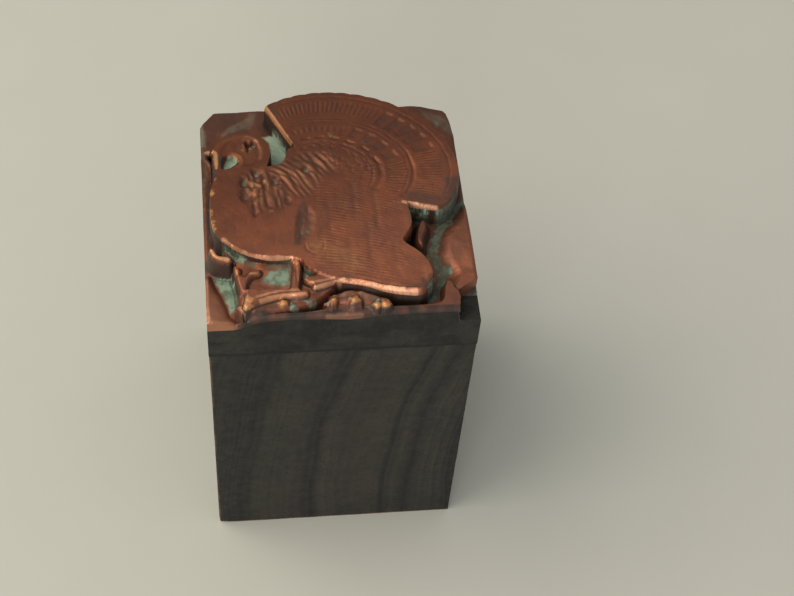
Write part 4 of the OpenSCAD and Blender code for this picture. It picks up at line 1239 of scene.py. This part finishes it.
@dataclass(frozen=True)
class ElectrotypeCopper:
    """Old electrotype copper: brown oxide on the face, pink where rollers rub it, verdigris in the hollows.

    Copper grown in a bath is matt and slightly pebbled, and a worn film of oxide over it stays half glossy. The eye
    gets a warm brown sheen, broken by dull green salt. Highlights on rubbed edges and shade in hollows and down walls
    are painted into the colour. The pebbles and the salt's grains are drawn coarser than real ones, which would be too
    fine to show.
    """

    oxide: str = "#96604b"
    red: str = "#a8674c"
    dark: str = "#30251e"
    umber: str = "#3a2016"
    tan: str = "#b07a55"
    # gold and bare pink are rubbed metal, and also the colours of the painted highlights and glints
    gold: str = "#e0a468"
    bare: str = "#eab08c"
    mint: str = "#84967f"
    moss: str = "#566350"
    paler_salt: str = "#a6b8a2"
    salt_under_ink_and_shade: str = "#27352d"
    olive: str = "#5f5643"
    roughness: float = 0.52

    def engraving(self, p: Paint) -> Socket:
        """Gives the fine lines cut in the forms: -1 in a groove and 1 on a crest, fading where they are worn.

        Args:
            p: the material being built.

        Returns:
            The lines' socket.
        """
        wave = p.add(Kind.COSINE, p.add(Kind.TIMES, p.add(Kind.LAYER, attribute_name=Stain.PHASE.value), 2 * math.pi))
        broken = p.add(Kind.STEP, p.lumps(0.35, 3, (2.2, 0.6, 1)), 0.35, 0.65, 0.15, 1.0)
        return p.add(Kind.TIMES, wave, p.add(Kind.TIMES, p.add(Kind.LAYER, attribute_name=Stain.LINES.value), broken))

    def oxidised(self, p: Paint, line: Socket) -> Socket:
        """Gives the metal's colour: brown and red clouds, darker towards the back, with the lines in it.

        Args:
            p: the material being built.
            line: the engraved lines.

        Returns:
            The colour's socket.
        """
        copper = p.add(Kind.MIX, p.add(Kind.STEP, p.lumps(1.8, 3), 0.35, 0.68), self.oxide, self.red)
        copper = p.tint(copper, self.dark, p.add(Kind.STEP, p.lumps(0.45, 3), 0.45, 0.75), 0.22)
        copper = p.tint(copper, self.tan, p.add(Kind.STEP, p.lumps(0.9, 2), 0.5, 0.75), 0.2)
        plan = p.add(Kind.PARTS, p.place).node.outputs
        back = p.add(Kind.MINUS, plan[1], p.add(Kind.TIMES, plan[0], 0.35))
        # darker towards the back
        copper = p.tint(copper, self.umber, p.add(Kind.STEP, back, -6.5, 4.0), 0.52)
        copper = p.tint(copper, self.dark, p.add(Kind.STEP, line, -0.1, -0.9), 0.4)
        return p.tint(copper, self.tan, p.add(Kind.STEP, line, 0.1, 0.9), 0.26)

    def salt(self, p: Paint, ragged: Socket) -> Socket:
        """Gives the verdigris its colours: mint and moss, paler at the back left, darker under old ink and painted
        shade, olive at its edge.

        Args:
            p: the material being built.
            ragged: how thickly verdigris lies.

        Returns:
            The colour's socket.
        """
        salt = p.add(Kind.MIX, p.add(Kind.STEP, p.lumps(0.5, 4), 0.3, 0.6), self.moss, self.mint)
        # verdigris painted paler where the gold stain marks it
        salt = p.add(Kind.MIX, p.add(Kind.LAYER, attribute_name=Stain.GOLD.value), salt, self.paler_salt)
        grime = p.add(Kind.LAYER, attribute_name=Stain.GRIME.value)
        # verdigris darkened under old ink and painted shade
        salt = p.tint(salt, self.salt_under_ink_and_shade, p.add(Kind.STEP, grime, 0.45, 1.0), 0.72)
        return p.add(Kind.MIX, p.add(Kind.STEP, ragged, 0.85, 0.4, 0.0, 0.75), salt, self.olive)

    def make(self) -> bpy.types.Material:
        """Builds the material: worn copper first, then old ink and painted shade, rubbed metal and painted highlights,
        earthy crust and verdigris on it.

        Returns:
            The finished material.
        """
        p = Paint("electrotype_copper_oxidised")
        line = self.engraving(p)
        above = p.add(Kind.STEP, p.add(Kind.LAYER, attribute_name=Stain.LEVEL.value), -0.05, 0.0)
        # walls below the shown part of a bevel get painted shade
        painted_wall_shade = p.add(Kind.TIMES, p.add(Kind.MINUS, 1.0, above), 0.93)
        grime, gold, rubbed, earth = (
            p.add(Kind.LAYER, attribute_name=stain.value)
            for stain in (Stain.GRIME, Stain.GOLD, Stain.RUBBED, Stain.EARTH))
        # old ink and painted shade darken the copper
        grime = p.add(Kind.LARGER, p.add(Kind.TIMES, grime, 0.85, use_clamp=True), painted_wall_shade)
        copper = p.add(Kind.MIX, grime, self.oxidised(p, line), self.dark)
        # rubbed gold and bare pink, which also carry painted highlights, only above the shaded part of the walls
        golden = p.add(Kind.TIMES, gold, p.add(Kind.TIMES, above, 0.8), use_clamp=True)
        rubbed = p.add(Kind.TIMES, rubbed, p.add(Kind.TIMES, above, 0.85), use_clamp=True)
        copper = p.add(Kind.MIX, rubbed, p.add(Kind.MIX, golden, copper, self.gold), self.bare)
        earth = p.add(Kind.TIMES, p.add(Kind.STEP, p.frayed(earth, p.lumps(0.5, 4), 0.5), 0.25, 0.75), 0.85)
        copper = p.add(Kind.MIX, earth, copper, self.olive)
        ragged = p.frayed(p.add(Kind.LAYER, attribute_name=Stain.VERDIGRIS.value), p.lumps(0.3, 4), 0.9)
        cover = p.add(Kind.STEP, ragged, 0.2, 0.85)
        colour = p.add(Kind.MIX, cover, copper, self.salt(p, ragged))
        hidden = p.add(Kind.LARGER, p.add(Kind.LARGER, cover, earth), p.add(Kind.TIMES, grime, 0.7))
        metal = p.add(Kind.MINUS, 1.0, hidden, use_clamp=True)
        speck = p.add(Kind.STEP, p.lumps(0.11, 2), 0.3, 0.75, self.roughness - 0.07, self.roughness + 0.1)
        rough = p.add(Kind.PLUS, speck, p.add(Kind.TIMES, cover, 0.4), use_clamp=True)
        normal = p.add(Kind.BUMP, line, 0.003 * MM)
        normal = p.add(Kind.BUMP, p.lumps(0.16, 3), 0.002 * MM, normal)
        normal = p.add(Kind.BUMP, p.add(Kind.TIMES, p.lumps(0.07, 2), cover), 0.02 * MM, normal)  # grains of salt
        return p.join(Base_Color=colour, Metallic=metal, Roughness=rough, Normal=normal)


@dataclass(frozen=True)
class TypeMetal:
    """Cast lead, tin and antimony, sawn and long in the ink: dull grey, smeared and scratched.

    The eye gets a near-black band with soft upright smears. They are drawn coarser than real saw marks.
    """

    grey: str = "#302f2b"
    pale: str = "#42413b"
    dark: str = "#221f1d"
    bloom: str = "#34372f"
    shadow: str = "#191816"
    joint_shade: tuple[float, float] = (WOOD_Z + 0.03, WOOD_Z - 0.22)  # from where to where old ink and painted shade darken the joint
    roughness: float = 0.62

    def make(self) -> bpy.types.Material:
        """Builds the material.

        Returns:
            The finished material.
        """
        p = Paint("type_metal_sawn_oxidised")
        place = p.add(Kind.PARTS, p.place).node.outputs
        colour = p.add(Kind.MIX, p.add(Kind.STEP, p.lumps(1.6, 4, (1.6, 1.6, 0.8)), 0.38, 0.66), self.dark, self.grey)
        colour = p.tint(colour, self.pale, p.add(Kind.STEP, p.lumps(0.6, 4, (1, 1, 2.5)), 0.5, 0.75), 0.3)
        left = p.add(Kind.STEP, p.lumps(0.9, 4, (1.3, 1, 0.7)), 0.35, 0.65, 0.1, 0.8)
        left = p.add(Kind.TIMES, p.add(Kind.STEP, place[0], -4.0, -6.2), left)
        colour = p.add(Kind.MIX, left, colour, self.bloom)
        colour = p.tint(colour, self.dark, p.add(Kind.STEP, p.lumps(1.5, 2, (0.8, 1, 6)), 0.5, 0.62), 0.45)
        joint_shade = p.add(Kind.STEP, p.add(Kind.MINUS, place[2], p.add(Kind.TIMES, p.lumps(1.8, 2), 0.5)), *self.joint_shade)
        # painted shade and old ink at the lead's foot, by the joint
        colour = p.tint(colour, self.shadow, joint_shade, 0.8)
        normal = p.add(Kind.BUMP, p.lumps(0.5, 4, (0.7, 0.7, 2.2)), 0.06 * MM)
        normal = p.add(Kind.BUMP, p.lumps(0.12, 2), 0.01 * MM, normal)
        rough = p.add(Kind.STEP, p.lumps(0.4, 3), 0.3, 0.7, self.roughness - 0.1, self.roughness + 0.12)
        return p.join(Base_Color=colour, Metallic=0.55, Roughness=rough, Normal=normal)


@dataclass(frozen=True)
class InkedWood:
    """Close-grained hardwood, sawn across the grain at the front and black with old printing ink.

    The growth rings curve across the front; along the sides the same rings run as straight grain. The pores are
    drawn coarser than real ones, which would be too fine to show.
    """

    ring_middle: tuple[float, float] = (68.0, 2.0)
    near_ring: float = 60.0
    ring_span: float = 16.0
    fine_ring: float = 0.3
    rings: tuple[tuple[float, str], ...] = (
        (0.02, "#25221d"), (0.075, "#120f0e"), (0.13, "#2b2722"), (0.2, "#26231e"), (0.235, "#14120f"),
        (0.285, "#2e2a24"), (0.315, "#12110e"), (0.37, "#2f2b25"), (0.5, "#282420"), (0.555, "#312c27"),
        (0.6, "#100e0d"), (0.66, "#282421"), (0.76, "#2e2b24"), (0.82, "#29261f"), (0.85, "#14120f"),
        (0.9, "#191714"), (0.965, "#1e1c18"))
    dark: str = "#171512"
    pore: str = "#15120f"
    warm: str = "#322e27"
    rubbed: str = "#6e4f37"
    joint_shade: tuple[float, float] = (WOOD_Z - 0.02, WOOD_Z + 0.23)  # from where to where old ink and painted shade darken the joint

    def make(self) -> bpy.types.Material:
        """Builds the material: rings first, then ink, the rubbed corner and lower edge, old ink and painted shade at
        the joint, and the pores.

        Returns:
            The finished material.
        """
        p = Paint("inked_end_grain_hardwood")
        x, y, z = p.add(Kind.PARTS, p.place).node.outputs
        across, up = p.add(Kind.MINUS, x, self.ring_middle[0]), p.add(Kind.MINUS, z, self.ring_middle[1])
        radius = p.add(Kind.ROOT, p.add(Kind.PLUS, p.add(Kind.TIMES, across, across), p.add(Kind.TIMES, up, up)))
        radius = p.frayed(radius, p.lumps(5.0, 2, (1, 6, 1.6)), 1.2)
        line = p.add(Kind.ALONG_X, radius)
        fine = p.add(Kind.NOISE, line, 1 / self.fine_ring, 1.0)
        colour = p.add(Kind.COLOURS, p.add(Kind.OVER, p.add(Kind.MINUS, radius, self.near_ring), self.ring_span))
        elements = colour.node.color_ramp.elements
        while len(elements) < len(self.rings):
            elements.new(0.5)
        for element, (place, code) in zip(elements, self.rings):
            element.position = place
            element.color = linear(code)
        colour = p.tint(colour, self.warm, p.add(Kind.STEP, fine, 0.42, 0.66), 0.5)
        colour = p.tint(colour, self.dark, p.add(Kind.STEP, fine, 0.42, 0.3), 0.5)
        colour = p.tint(colour, self.dark, p.add(Kind.STEP, p.lumps(2.6, 4, (1, 5, 1)), 0.4, 0.7), 0.3)
        corner = p.add(Kind.STEP, p.add(Kind.PLUS, x, y), 0.16 - HALF_W - HALF_D, 0.05 - HALF_W - HALF_D)
        edge = p.add(Kind.LARGER, corner, p.add(Kind.STEP, z, 0.2, 0.03))
        edge = p.add(Kind.TIMES, edge, p.add(Kind.STEP, p.lumps(1.2, 3), 0.35, 0.6, 0.1, 0.75))
        colour = p.add(Kind.MIX, edge, colour, self.rubbed)
        joint_shade = p.add(Kind.PLUS, z, p.add(Kind.TIMES, p.lumps(1.8, 2), 0.5))
        # painted shade and old ink at the top of the wood, under the backing
        colour = p.tint(colour, self.dark, p.add(Kind.STEP, joint_shade, *self.joint_shade), 0.75)
        pores = p.add(Kind.STEP, p.lumps(0.16, 1, (1, 8, 1)), 0.62, 0.72)
        colour = p.tint(colour, self.pore, pores, 0.7)
        normal = p.add(Kind.BUMP, p.lumps(0.35, 3, (4, 9, 0.6)), 0.03 * MM)
        normal = p.add(Kind.BUMP, pores, -0.02 * MM, normal)
        rough = p.add(Kind.STEP, p.lumps(0.5, 3), 0.3, 0.7, 0.55, 0.8)
        return p.join(Base_Color=colour, Roughness=rough, Normal=normal, Specular_IOR_Level=0.35)
@dataclass(frozen=True)
class DullMetal:
    """A small hidden metal part: the tin film, or the iron wire of the brads.

    Clouds of a darker tone and an uneven gloss give the eye old metal that has lost its shine.
    """

    name: str
    light: str
    dark: str
    metallic: float
    roughness: float
    lump: float

    def make(self) -> bpy.types.Material:
        """Builds the material.

        Returns:
            The finished material.
        """
        p = Paint(self.name)
        colour = p.add(Kind.MIX, p.add(Kind.STEP, p.lumps(self.lump, 3), 0.35, 0.65), self.dark, self.light)
        rough = p.add(Kind.STEP, p.lumps(self.lump / 2, 2), 0.3, 0.7, self.roughness - 0.1, self.roughness + 0.1)
        normal = p.add(Kind.BUMP, p.lumps(self.lump / 3, 2), 0.008 * MM)
        return p.join(Base_Color=colour, Metallic=self.metallic, Roughness=rough, Normal=normal)


@dataclass(frozen=True)
class PaperSweep:
    """Matt off-white paper under the block, faintly clouded, which gives the eye a soft even ground."""

    tone: str = "#bfbeb3"
    fleck: str = "#bbbaae"

    def make(self) -> bpy.types.Material:
        """Builds the material.

        Returns:
            The finished material.
        """
        p = Paint("matt_paper_sweep")
        colour = p.add(Kind.MIX, p.lumps(6.0, 3), self.tone, self.fleck)
        return p.join(Base_Color=colour, Roughness=0.9)


# ---------------------------------------------------------------- pieces


def select_none() -> None:
    """Clears the selection, so that the next operator meets only what it adds."""
    for other in bpy.context.selected_objects:
        other.select_set(False)


def as_piece(name: str, mesh: bpy.types.Mesh, node: str) -> bpy.types.Object:
    """Links a mesh as a piece that rides on the block and stands for a CAD node.

    Args:
        name: the piece's name.
        mesh: its finished mesh, in metres.
        node: the CAD node that it replaces.

    Returns:
        The new object.
    """
    piece = bpy.data.objects.new(name, mesh)
    bpy.context.scene.collection.objects.link(piece)
    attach(piece, "root")
    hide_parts(node)
    return piece


@dataclass(frozen=True)
class PlateOutline:
    """The sawn outline of the plate in plan, in mm, and the grids that fill it.

    The back left corner is sawn off, the back right one is filed round, and the copper is torn at the front right.
    """

    back_left: tuple[float, float] = (0.9, 1.2)
    back_right: tuple[tuple[float, float], ...] = (
        (5.3, 7.4), (6.15, 7.29), (6.97, 7.13), (7.22, 6.95), (7.53, 5.9), (7.75, 5.3))
    torn: tuple[float, float] = (1.15, 1.6)
    seam_left: float = -6.0
    seam_right: float = 4.9

    def sides(self, y: Array, torn: bool) -> tuple[Array, Array]:
        """Gives the left and right edge at each y.

        Args:
            y: places in depth.
            torn: whether the copper's torn corner is left out.

        Returns:
            The left and right edges.
        """
        width, depth = self.back_left
        left = -HALF_W + width * np.clip((y - HALF_D + depth) / depth, 0, 1)
        ys, xs = zip(*self.back_right)
        right = np.interp(y, ys, xs)
        if torn:
            width, depth = self.torn
            slant = HALF_W - width * np.clip((depth - HALF_D + 0.55 - y) / 0.75, 0, 1)
            ragged = 0.1 * value_noise(y, y * 0, 0.55, 61) + 0.04 * value_noise(y, y * 0, 0.2, 62)
            right = np.minimum(right, slant + ragged * (y < -HALF_D + depth + 0.3))
        return left, right

    def grid(self, columns: int, rows: int, torn: bool) -> tuple[Array, Array]:
        """Lays a grid over the plate, even in the middle and fitted to the edges at the sides.

        Args:
            columns: steps across.
            rows: steps in depth.
            torn: whether the copper's torn corner is left out.

        Returns:
            The grid's x and y.
        """
        x = np.linspace(-HALF_W, HALF_W, columns + 1)[None, :] * np.ones((rows + 1, 1))
        y = np.linspace(-HALF_D, HALF_D, rows + 1)[:, None] * np.ones((1, columns + 1))
        left, right = self.sides(y, torn)
        on_right = self.seam_right + (x - self.seam_right) * (right - self.seam_right) / (HALF_W - self.seam_right)
        on_left = self.seam_left + (x - self.seam_left) * (left - self.seam_left) / (-HALF_W - self.seam_left)
        x = np.where(x > self.seam_right, on_right, np.where(x < self.seam_left, on_left, x))
        return x, y


def closed_slab(name: str, x: Array, y: Array, top: Array, low: Array, step: int, bands: int = 1,
                swell: float = 0.0) -> tuple[bpy.types.Mesh, int]:
    """Joins a top grid and an underside into one closed mesh.

    Args:
        name: the mesh's name.
        x: the top grid's x, in mm.
        y: the top grid's y.
        top: the top grid's heights.
        low: the underside's heights, one for every step-th place of the top.
        step: how many top places go to one of the underside.
        bands: rows of faces in the side walls.
        swell: how far the side walls' places wander outwards, in mm.

    Returns:
        The mesh, and how many of its first faces are the top.
    """
    low_x, low_y = x[::step, ::step], y[::step, ::step]
    places = [np.stack([x, y, top], -1).reshape(-1, 3), np.stack([low_x, low_y, low], -1).reshape(-1, 3)]
    index = np.arange(top.size).reshape(top.shape)
    under = top.size + np.arange(low.size).reshape(low.shape)
    faces = np.stack([index[:-1, :-1], index[:-1, 1:], index[1:, 1:], index[1:, :-1]], -1).reshape(-1, 4).tolist()
    top_faces = len(faces)
    faces += np.stack([under[:-1, :-1], under[1:, :-1], under[1:, 1:], under[:-1, 1:]], -1).reshape(-1, 4).tolist()
    ring = np.concatenate([index[0, :-1], index[:-1, -1], index[-1, :0:-1], index[:0:-1, 0]])
    foot = np.concatenate([under[0, :-1], under[:-1, -1], under[-1, :0:-1], under[:0:-1, 0]])
    count = len(foot)
    here = np.concatenate(places)
    upper, lower = here[ring[::step]], here[foot]
    outward = np.stack([np.clip(upper[:, 0] / HALF_W, -1, 1) ** 9, np.clip(upper[:, 1] / HALF_D, -1, 1) ** 9,
                        np.zeros(count)], -1)
    levels = [foot]
    first = len(here)
    for band in range(1, bands):
        share = band / bands
        middle = lower + (upper - lower) * share
        along = middle[:, 0] - middle[:, 1]
        wander = swell * (0.5 + 0.5 * value_noise(along, middle[:, 2], 0.8, 71))
        places.append(middle + outward * wander[:, None])
        levels.append(first + np.arange(count))
        first += count
    turn = np.roll(np.arange(count), -1)
    for below, above in zip(levels, levels[1:]):
        faces += np.stack([below, below[turn], above[turn], above], -1).tolist()
    last = levels[-1]
    for k in range(count):
        run = [int(v) for v in np.take(ring, np.arange(k * step, (k + 1) * step + 1), mode="wrap")]
        faces.append([int(last[k]), int(last[(k + 1) % count]), *run[::-1]])
    mesh = bpy.data.meshes.new(name)
    mesh.from_pydata((np.concatenate(places) * MM).tolist(), [], faces)
    mesh.validate()
    mesh.update()
    return mesh, top_faces


def crisp_edges(mesh: bpy.types.Mesh, angle: float) -> None:
    """Marks the edges between faces that meet at more than an angle, in degrees, so that they shade crisply.

    Args:
        mesh: the mesh.
        angle: the least angle of a crisp edge, in degrees.
    """
    count = len(mesh.polygons)
    normals = np.zeros(count * 3, np.float32)
    mesh.polygons.foreach_get("normal", normals)
    normals = normals.reshape(-1, 3)
    loops = len(mesh.loops)
    edge_of = np.zeros(loops, np.int32)
    mesh.loops.foreach_get("edge_index", edge_of)
    totals = np.zeros(count, np.int32)
    mesh.polygons.foreach_get("loop_total", totals)
    face_of = np.repeat(np.arange(count), totals)
    order = np.argsort(edge_of, kind="stable")
    edges, faces = edge_of[order], face_of[order]
    pair = np.nonzero(edges[1:] == edges[:-1])[0]
    meet = np.einsum("ij,ij->i", normals[faces[pair]], normals[faces[pair + 1]])
    sharp = np.zeros(len(mesh.edges), bool)
    sharp[edges[pair]] = meet < math.cos(math.radians(angle))
    layer = mesh.attributes.new("sharp_edge", "BOOLEAN", "EDGE")
    layer.data.foreach_set("value", sharp)


def film_height(x: Array) -> Array:
    """Gives the height of the joint between copper and backing along the front, in mm, at each x."""
    return np.interp(x, (-6.0, -5.5, -5.1, -4.6, -3.8, -1.2, 0.2, 1.2, 2.2, 5.9),
                     (UNDER_Z, 21.62, 21.88, 22.06, 22.16, 22.12, 21.98, 22.06, 22.22, 22.26))


@dataclass
class CopperShell:
    """The deposited copper with its relief, as one closed skin with the printing face up.

    Lengths are in mm. The underside has one place for every `coarse` of the top's, and the brads stand where the
    CAD has them.
    """

    columns: int = 296
    rows: int = 308
    coarse: int = 4
    plate: PlateOutline = PlateOutline()
    film_top: float = 22.77
    film_inset: float = 0.35
    film_y: float = -6.95
    brads: tuple[tuple[float, float], ...] = ((-3.3, 4.4), (-6.35, -5.8), (5.7, -3.2))
    brad_clear: float = 0.55
    brad_top: float = 21.76
    thinnest: float = 0.12
    snap_reach: float = 0.026
    sharp_angle: float = 48.0
    spread: float = 1.001

    def underside(self, x: Array, y: Array, picture: Picture) -> Array:
        """Gives the underside's height: raised behind the big forms and the ground, clear of the brads.

        Args:
            x: the underside's x, in mm.
            y: the underside's y.
            picture: the picture above it.

        Returns:
            The heights in mm.
        """
        step = self.coarse
        inside = np.maximum(picture.to_body, picture.to_fan)[::step, ::step]
        z = np.where(inside > self.film_inset + 0.1, self.film_top, UNDER_Z)
        z = np.where(y < self.film_y, np.maximum(z, film_height(x)), z)
        for bx, by in self.brads:
            z = np.where(np.hypot(x - bx, y - by) < self.brad_clear, np.maximum(z, self.brad_top), z)
        return np.minimum(z, picture.relief.z[::step, ::step] - self.thinnest)

    def build(self) -> bpy.types.Object:
        """Models the shell and dresses it.

        Returns:
            The finished piece.
        """
        x, y = self.plate.grid(self.columns, self.rows, True)
        x, y = snapped(x, y, big_forms()[::-1], self.snap_reach)
        relief = Relief(x, y)
        picture = Picture(relief)
        picture.work()
        step = self.coarse
        low_x, low_y = x[::step, ::step], y[::step, ::step]
        low_z = self.underside(low_x, low_y, picture)
        mesh, top_faces = closed_slab("copper_relief", x * self.spread, y * self.spread, relief.z, low_z, step)
        smooth = np.zeros(len(mesh.polygons), bool)
        smooth[:top_faces] = True
        mesh.polygons.foreach_set("use_smooth", smooth)
        crisp_edges(mesh, self.sharp_angle)
        for stain, amount in relief.stains.items():
            layer = mesh.attributes.new(stain.value, "FLOAT", "POINT")
            low_amount = amount[::step, ::step].reshape(-1)
            layer.data.foreach_set("value", np.concatenate([amount.reshape(-1), low_amount]).astype(np.float32))
        mesh.materials.append(ElectrotypeCopper().make())
        return as_piece("copper_relief", mesh, "copper_shell")


@dataclass(frozen=True)
class Backing:
    """The cast backing metal: a sawn slab that rises behind the ground and hangs over the wood in a small burr.

    Lengths are in mm. `bare` is the front right corner, from its x and y outwards, where no copper lies on it.
    """

    plate: PlateOutline = PlateOutline()
    bare: tuple[float, float] = (6.2, -5.7)
    rim: float = 0.1
    columns: int = 74
    rows: int = 77
    bands: int = 9
    tongue_y: float = -7.0
    lap: float = 0.02
    proud: float = 0.012
    burr: float = 0.06
    wander: float = 0.015

    def build(self) -> bpy.types.Object:
        """Models the slab and dresses it.

        Returns:
            The finished piece.
        """
        x, y = self.plate.grid(self.columns, self.rows, False)
        wide, deep = 1 + self.proud / HALF_W, 1 + self.proud / HALF_D
        top = np.full(x.shape, BACKING_Z)
        edge = (np.abs(x) > HALF_W - self.rim) | (np.abs(y) > HALF_D - self.rim) | (x <= x[:, :1]) | (x >= x[:, -1:])
        bare = (x > self.bare[0]) & (y < self.bare[1])
        top = np.where(edge & ~bare, UNDER_Z + 0.02, top)
        top = np.where((y < self.tongue_y) & ~bare, np.maximum(top, film_height(x) + self.lap), top)
        top = np.where(bare, top + 0.03 * value_noise(x, y, 0.6, 82) - 0.05 * (1 - ramp(HALF_W - x, 0, 0.3)), top)
        low = WOOD_Z - self.burr * (0.5 + 0.5 * value_noise(x + 3 * y, y - x, 1.3, 83)) * edge
        mesh, _ = closed_slab("type_metal_backing", x * wide, y * deep, top, low, 1, self.bands, self.wander)
        mesh.materials.append(TypeMetal().make())
        return as_piece("type_metal_backing", mesh, "backing_metal")


@dataclass(frozen=True)
class WoodMount:
    """The wooden mount: a block sawn square, its edges rubbed and one corner bruised. Lengths are in mm."""

    edge: float = 0.045
    cuts: int = 24
    unevenness: float = 0.01
    bruise: tuple[float, float, float] = (-HALF_W, -HALF_D, 0.0)
    bruise_reach: float = 0.9
    bruise_depth: float = 0.09
    edge_wear: float = 0.02
    smooth_angle: float = 40.0

    def build(self) -> bpy.types.Object:
        """Models the block and dresses it.

        Returns:
            The finished piece.
        """
        select_none()
        bpy.ops.mesh.primitive_cube_add(size=1, location=(0, 0, WOOD_Z * MM / 2))
        block = bpy.context.active_object
        block.scale = (2 * HALF_W * MM, 2 * HALF_D * MM, WOOD_Z * MM)
        bpy.ops.object.transform_apply(location=True, rotation=False, scale=True)
        bpy.ops.object.mode_set(mode="EDIT")
        bpy.ops.mesh.select_all(action="SELECT")
        bpy.ops.mesh.bevel(offset=self.edge * MM, segments=2, profile=0.6)
        bpy.ops.mesh.select_all(action="SELECT")
        bpy.ops.mesh.subdivide(number_cuts=self.cuts)
        bpy.ops.object.mode_set(mode="OBJECT")
        mesh = block.data
        here = np.zeros(len(mesh.vertices) * 3, np.float32)
        mesh.vertices.foreach_get("co", here)
        here = here.reshape(-1, 3) / MM
        middle = np.array([0, 0, WOOD_Z / 2])
        inward = (middle - here) / np.linalg.norm(middle - here, axis=1, keepdims=True)
        sides = np.stack([HALF_W - np.abs(here[:, 0]), HALF_D - np.abs(here[:, 1]),
                          np.minimum(here[:, 2], WOOD_Z - here[:, 2])], -1)
        at_edge = 1 - ramp(np.sort(sides, axis=1)[:, 1], 0.0, 0.5)
        u, v = here[:, 0] + 0.37 * here[:, 1], here[:, 2] + 0.41 * here[:, 1]
        wander = self.unevenness * (0.5 + 0.5 * value_noise(u, v, 1.4, 91))
        wander += self.edge_wear * at_edge * (0.5 + 0.5 * value_noise(u, v, 0.7, 92))
        far = np.linalg.norm(here - np.array(self.bruise), axis=1)
        wander += self.bruise_depth * (1 - ramp(far, 0.1, self.bruise_reach))
        keep_top = ramp(WOOD_Z - here[:, 2], 0.0, 0.4)
        here = here + inward * (wander * keep_top)[:, None]
        here[:, 2] = np.clip(here[:, 2], 0, WOOD_Z)
        mesh.vertices.foreach_set("co", (here * MM).astype(np.float32).reshape(-1))
        mesh.update()
        bpy.ops.object.shade_smooth_by_angle(angle=math.radians(self.smooth_angle))
        mesh.materials.append(InkedWood().make())
        block.name = mesh.name = "wood_block"
        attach(block, "root")
        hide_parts("wood_mount")
        return block


def dress(nodes: Sequence[str], finish: DullMetal) -> None:
    """Puts one finish on CAD nodes that keep their shape.

    Args:
        nodes: the nodes' names in the frame.
        finish: what they are made of.
    """
    material = finish.make()
    for node in nodes:
        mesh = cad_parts[node].data
        if not mesh.materials:
            mesh.materials.append(material)
        for i in range(len(mesh.materials)):
            mesh.materials[i] = material
        LOG.info("%s dressed in %s", node, material.name)
@dataclass(frozen=True)
class Studio:
    """Pale paper, soft lights and the camera at the photograph's angle. Places are in mm, turns in degrees."""

    eye: tuple[float, float, float] = EYE
    turn: tuple[float, float, float] = (36.104, -3.346, -5.600)
    lens: float = 72.96
    sensor: float = 36.0
    clip: tuple[float, float] = (0.005, 10.0)  # in m
    paper_half: float = 400.0
    sky: str = "#d9dadb"
    sky_strength: float = 0.68
    # name, place, side, watts and tone of each light: a warm one from the left, a small one from the front
    lights: tuple[tuple[str, tuple[float, float, float], float, float, str], ...] = (
        ("key", (-215, 0, 245), 360, 0.98, "#fff8ea"), ("front", (-90, -270, 80), 130, 0.34, "#ffffff"))

    def light(self, name: str, place: tuple[float, float, float], size: float, watts: float, tone: str) -> None:
        """Adds a square soft light that faces the block.

        Args:
            name: the light's name.
            place: where it stands, in mm.
            size: length of its side, in mm.
            watts: its power.
            tone: its colour.
        """
        data = bpy.data.lights.new(name, "AREA")
        data.shape, data.size, data.energy, data.color = "SQUARE", size * MM, watts, linear(tone)[:3]
        lamp = bpy.data.objects.new(name, data)
        lamp.location = Vector(place) * MM
        lamp.rotation_euler = (Vector((0, 0, 15)) - Vector(place)).to_track_quat("-Z", "Y").to_euler()
        bpy.context.scene.collection.objects.link(lamp)

    def build(self) -> None:
        """Sets up the floor, the lights and the camera."""
        select_none()
        bpy.ops.mesh.primitive_plane_add(size=2 * self.paper_half * MM, location=(0, 0, 0))
        paper = bpy.context.active_object
        paper.name = "paper"
        paper.data.materials.append(PaperSweep().make())
        world = bpy.data.worlds.new("studio")
        world.use_nodes = True
        tone, strength = world.node_tree.nodes["Background"].inputs[:2]
        tone.default_value, strength.default_value = linear(self.sky), self.sky_strength
        bpy.context.scene.world = world
        for light in self.lights:
            self.light(*light)
        camera = bpy.data.objects.new("camera", bpy.data.cameras.new("camera"))
        camera.location = Vector(self.eye) * MM
        camera.rotation_euler = [math.radians(a) for a in self.turn]
        camera.data.lens = self.lens
        camera.data.sensor_width = self.sensor
        camera.data.clip_start, camera.data.clip_end = self.clip
        bpy.context.scene.collection.objects.link(camera)
        bpy.context.scene.camera = camera
        bpy.context.scene.view_settings.view_transform = "Standard"


def main() -> None:
    """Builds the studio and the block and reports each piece."""
    logging.basicConfig(level=logging.INFO, format="%(name)s: %(message)s")
    Studio().build()
    for part in (WoodMount(), Backing(), CopperShell()):
        piece = part.build()
        LOG.info("%s: %d faces", piece.name, len(piece.data.polygons))
    dress(("tin_film",), DullMetal("tin_film_dull", "#8c8d88", "#5d5d59", 0.9, 0.5, 0.5))
    dress(("brad_neck", "brad_front_left", "brad_right"),
          DullMetal("brad_iron_wire_dull", "#5a5650", "#33302c", 0.8, 0.55, 0.4))


if __name__ == "__main__":
    main()
